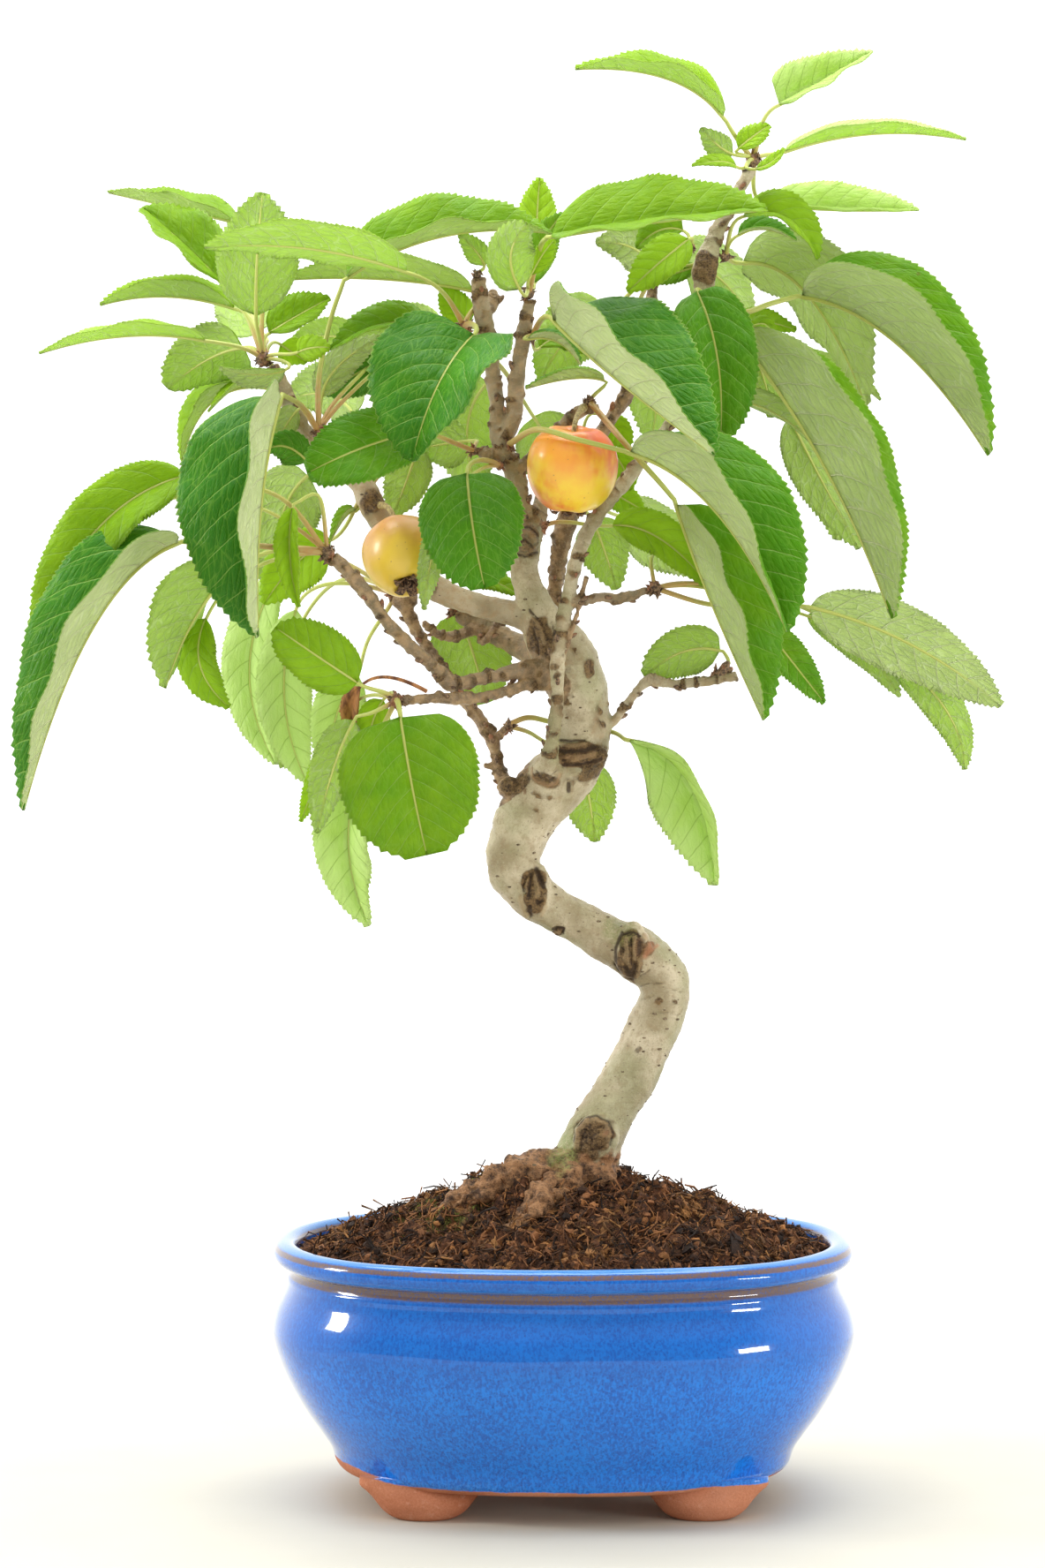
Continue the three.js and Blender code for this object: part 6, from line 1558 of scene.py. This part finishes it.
stalks, wire = new_finish("leaf_stalk_and_midrib")
place = wire.node("TexCoord", output="Object")
far, tone, _ = wire.attribute("stalk", "Vector").parts()
colour = tone.mix((0.36, 0.39, 0.06), (0.52, 0.56, 0.13))
blush = (far + place.grain(30) * 0.5 - 0.25).rise(0.30, 0.02)
colour = (blush * 0.8).mix(colour, (0.46, 0.21, 0.08))
colour = (place.grain(1.5, 3).rise(0.4, 0.7) * 0.3).mix(colour, (0.40, 0.44, 0.16))
wire.on_surface(wire.node("BsdfPrincipled", (), {
    "Base Color": colour,
    "Roughness": 0.45,
    "Normal": place.stretched(1, 1, 0.3).grain(0.5, 3).bump(0.25, 0.3),
}))

# the teeth and waves differ from leaf to leaf
chance = np.random.default_rng(11)
for name, (spur, leaves) in SPRAYS.items():
    blades = spray(f"{name}_blades", leaves, chance)
    blades.data.materials.append(upper)
    blades.data.materials.append(lower)
    for piece in (blades, stalks_of(f"{name}_stalks", spur, leaves, stalks)):
        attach(piece, "root")
        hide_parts(name)

# the one leaf that dried up and stayed on its spur
withered, wire = new_finish("withered_leaf_skin")
place = wire.node("TexCoord", output="Object")
streaks = place.stretched(1, 1, 0.35).grain(2.5, 4)
colour = streaks.rise(0.35, 0.65).mix((0.15, 0.045, 0.015), (0.52, 0.22, 0.07))
wire.on_surface(wire.node("BsdfPrincipled", (), {
    "Base Color": colour,
    "Roughness": streaks * 0.2 + 0.5,
    "Normal": streaks.bump(0.6, 0.6),
}))
DEAD_SPUR = (-47, 278, -32)
DEAD_LEAF = ((-70, 279.5, -24), (-73, 271, -20), (-70, 259, -16), 3.8, 20, 30, 0.5)
dead_blade = spray("withered_leaf_blade", [DEAD_LEAF], chance)
dead_blade.data.polygons.foreach_set("material_index", [0] * len(dead_blade.data.polygons))
dead_blade.data.materials.append(withered)
for piece in (dead_blade, stalks_of("withered_leaf_stalk", DEAD_SPUR, [DEAD_LEAF], withered)):
    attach(piece, "root")
    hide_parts("withered_leaf")


# ---- buds and spurs ----
# Short knobbly spurs from which leaves and fruit spring, thatched with the ragged brown scales of past
# years, and small pointed winter buds pressed to the twigs beside the scars of old leaves.

scale_finish, wire = new_finish("bud_scales")
place = wire.node("TexCoord", output="Object")
grain = place.grain(0.9, 4, 0.65)
colour = grain.rise(0.36, 0.64).mix((0.045, 0.024, 0.013), (0.30, 0.18, 0.095))
colour = (place.grain(6).rise(0.5, 0.62) * 0.6).mix(colour, (0.36, 0.13, 0.055))
wire.on_surface(wire.node("BsdfPrincipled", (), {
    "Base Color": colour,
    "Roughness": grain * 0.2 + 0.55,
    "Normal": grain.bump(0.4, 0.7),
}))


def dotted(name, spots, sizes, ways=None):
    """An object with a point at each spot, with its size in mm and the way it points."""
    dots = bpy.data.meshes.new(name)
    dots.from_pydata([tuple(spot) for spot in spots], [], [])
    piece = placed(name, dots)
    mark(piece, "size", np.array(sizes) * MM)
    if ways is not None:
        mark(piece, "way", ways)
    return piece


# the spurs, each a rough knob with scales all over
knobs = dotted(
    "spur_scales",
    [at(*spur) for spur, leaves in SPRAYS.values()],
    [min(1.1 + 0.2 * len(leaves), 2.5) for spur, leaves in SPRAYS.values()],
)
plan = Plan("spur_scales", Density=330000.0, Length=2.3 * MM, Rough=1.5 * MM)
size = plan.start
cores = plan.copies(plan.ball(3), size["Geometry"], plan.named("size"))
cores = plan.wobbled(cores, 800.0, size["Rough"])
roots, facing = plan.strewn(cores, size["Density"])
tilt = plan.random((-0.9, -0.9, 0.0), (0.9, 0.9, 6.28), 3)
turn = plan.turned(facing, plan.node("FunctionNodeEulerToRotation", (), {0: tilt}))
shape = plan.scaled(plan.scaled((0.42, 0.16, 0.5), size["Length"]), plan.random(0.5, 1.2, 4))
cone = {"Vertices": 6, "Side Segments": 2, "Depth": 2.0}
flakes = plan.copies(plan.node("GeometryNodeMeshCone", (), cone, "Mesh"), roots, shape, turn)
both = plan.tree.nodes.new("GeometryNodeJoinGeometry")
for part in (cores, flakes):
    plan.tree.links.new(part, both.inputs[0])
plan.grow(knobs, both.outputs[0], scale_finish)
knobs.data.shade_smooth()

# the buds, on any side of every stem but the trunk and the roots, which are the first three of
# STEMS, where it is thin enough, and two large ones on the twig to the right
luck = np.random.default_rng(5)
bud_spots = [at(55, 285, -9), at(56, 284, -8)]
bud_ways = [(4, 0, 7), (5, 0, 5)]
bud_sizes = [4.2, 3.4]
# in mm along a stem, and the radius of a stem
BUD_GAP = 7.5
THICKEST_BUDDED = 3.1
for brown, places in STEMS[3:]:
    line = smooth_line([(*at(*spot[:3]), spot[3] * MM) for spot in places], 6)
    gone = np.concatenate([[0], np.cumsum(np.linalg.norm(np.diff(line[:, :3], axis=0), axis=1))]) / MM
    for reach in np.arange(6, gone[-1] - 3, BUD_GAP):
        i = np.searchsorted(gone, reach + luck.uniform(-2, 2))
        onwards = Vector(line[i + 1, :3] - line[i, :3]).normalized()
        outwards = onwards.cross(Vector(luck.normal(size=3))).normalized()
        if line[i, 3] < THICKEST_BUDDED * MM:
            bud_spots.append(Vector(line[i, :3]) + outwards * line[i, 3])
            bud_ways.append(onwards * 0.8 + outwards * 0.6)
            bud_sizes.append(luck.uniform(1.3, 2.4))
buds = dotted("twig_buds", bud_spots, bud_sizes, bud_ways)
plan = Plan("twig_buds", Slender=0.42)
length = plan.named("size")
way = plan.named("way", "FLOAT_VECTOR")
turn = plan.node("FunctionNodeAlignRotationToVector", {"axis": "Z"}, {"Vector": way})
across = plan.maths("MULTIPLY", length, plan.start["Slender"])
shape = plan.node("ShaderNodeCombineXYZ", (), {0: across, 1: across, 2: length})
grown = plan.copies(plan.ball(2), plan.start["Geometry"], shape, turn)
plan.grow(buds, grown, scale_finish)
buds.data.shade_smooth()
for piece in (knobs, buds):
    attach(piece, "root")
    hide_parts("trunk_and_branches")


# ---- floor, light and camera ----
# A plain pale floor in a white studio: a large soft light overhead, a small one on either side that
# shows in the glaze as a window, and a camera a metre and a half away, a little above the middle.

FLOOR_RADIUS = 0.42
turns = np.linspace(0, 2 * np.pi, 96, endpoint=False)
rim = np.stack([np.cos(turns), np.sin(turns), 0 * turns], 1) * FLOOR_RADIUS + np.array(MIDDLE)
floor = mesh_piece("floor", rim, [range(len(rim))])
floor_finish, wire = new_finish("pale_floor")
scuffs = wire.node("TexCoord", output="Object").grain(60, 4)
wire.on_surface(wire.node("BsdfPrincipled", (), {
    "Base Color": scuffs.mix((0.53, 0.50, 0.41), (0.58, 0.555, 0.475)),
    "Roughness": 0.6,
}))
floor.data.materials.append(floor_finish)

world = bpy.data.worlds.new("studio")
bpy.context.scene.world = world
world.use_nodes = True
world.node_tree.nodes.clear()
wire = Wire(world.node_tree)
from_behind = wire.node("TexCoord", output="Generated").part("Y")
upwards = wire.node("TexCoord", output="Generated").part("Z")
glow = from_behind.rise(-0.6, -0.05).most(upwards.rise(0.3, 0.8) * 0.8).most(upwards.rise(0.0, -0.03))
colour = glow.mix((0.39, 0.395, 0.40), (1.0, 1.0, 0.99))
sky = wire.node("Background", (), {"Color": colour, "Strength": 1.35})
wire.node("OutputWorld", (), {"Surface": sky})


def softbox(name, place, width, height, power):
    """A rectangular light that points at the tree."""
    light = bpy.data.lights.new(name, "AREA")
    light.shape = "RECTANGLE"
    light.size = width
    light.size_y = height
    light.energy = power
    lamp = placed(name, light)
    lamp.location = place
    aim = MIDDLE + Vector((0, 0, 0.25)) - Vector(place)
    lamp.rotation_euler = aim.to_track_quat("-Z", "Y").to_euler()


softbox("overhead", (0.0, 0.1, 1.6), 1.5, 1.2, 29)
softbox("window_left", (-1.45, -0.08, 0.75), 0.34, 0.36, 12)
softbox("window_right", (1.15, -0.72, 0.22), 0.36, 0.14, 6)

lens = bpy.data.cameras.new("camera")
lens.lens = 100
lens.sensor_width = 36
lens.clip_start = 0.05
DOWNWARDS = 2.44
camera = placed("camera", lens)
camera.location = MIDDLE + VIEWPOINT * MM
camera.rotation_euler = (math.radians(90 - DOWNWARDS), 0, 0)
bpy.context.scene.camera = camera
bpy.context.scene.view_settings.view_transform = "Standard"
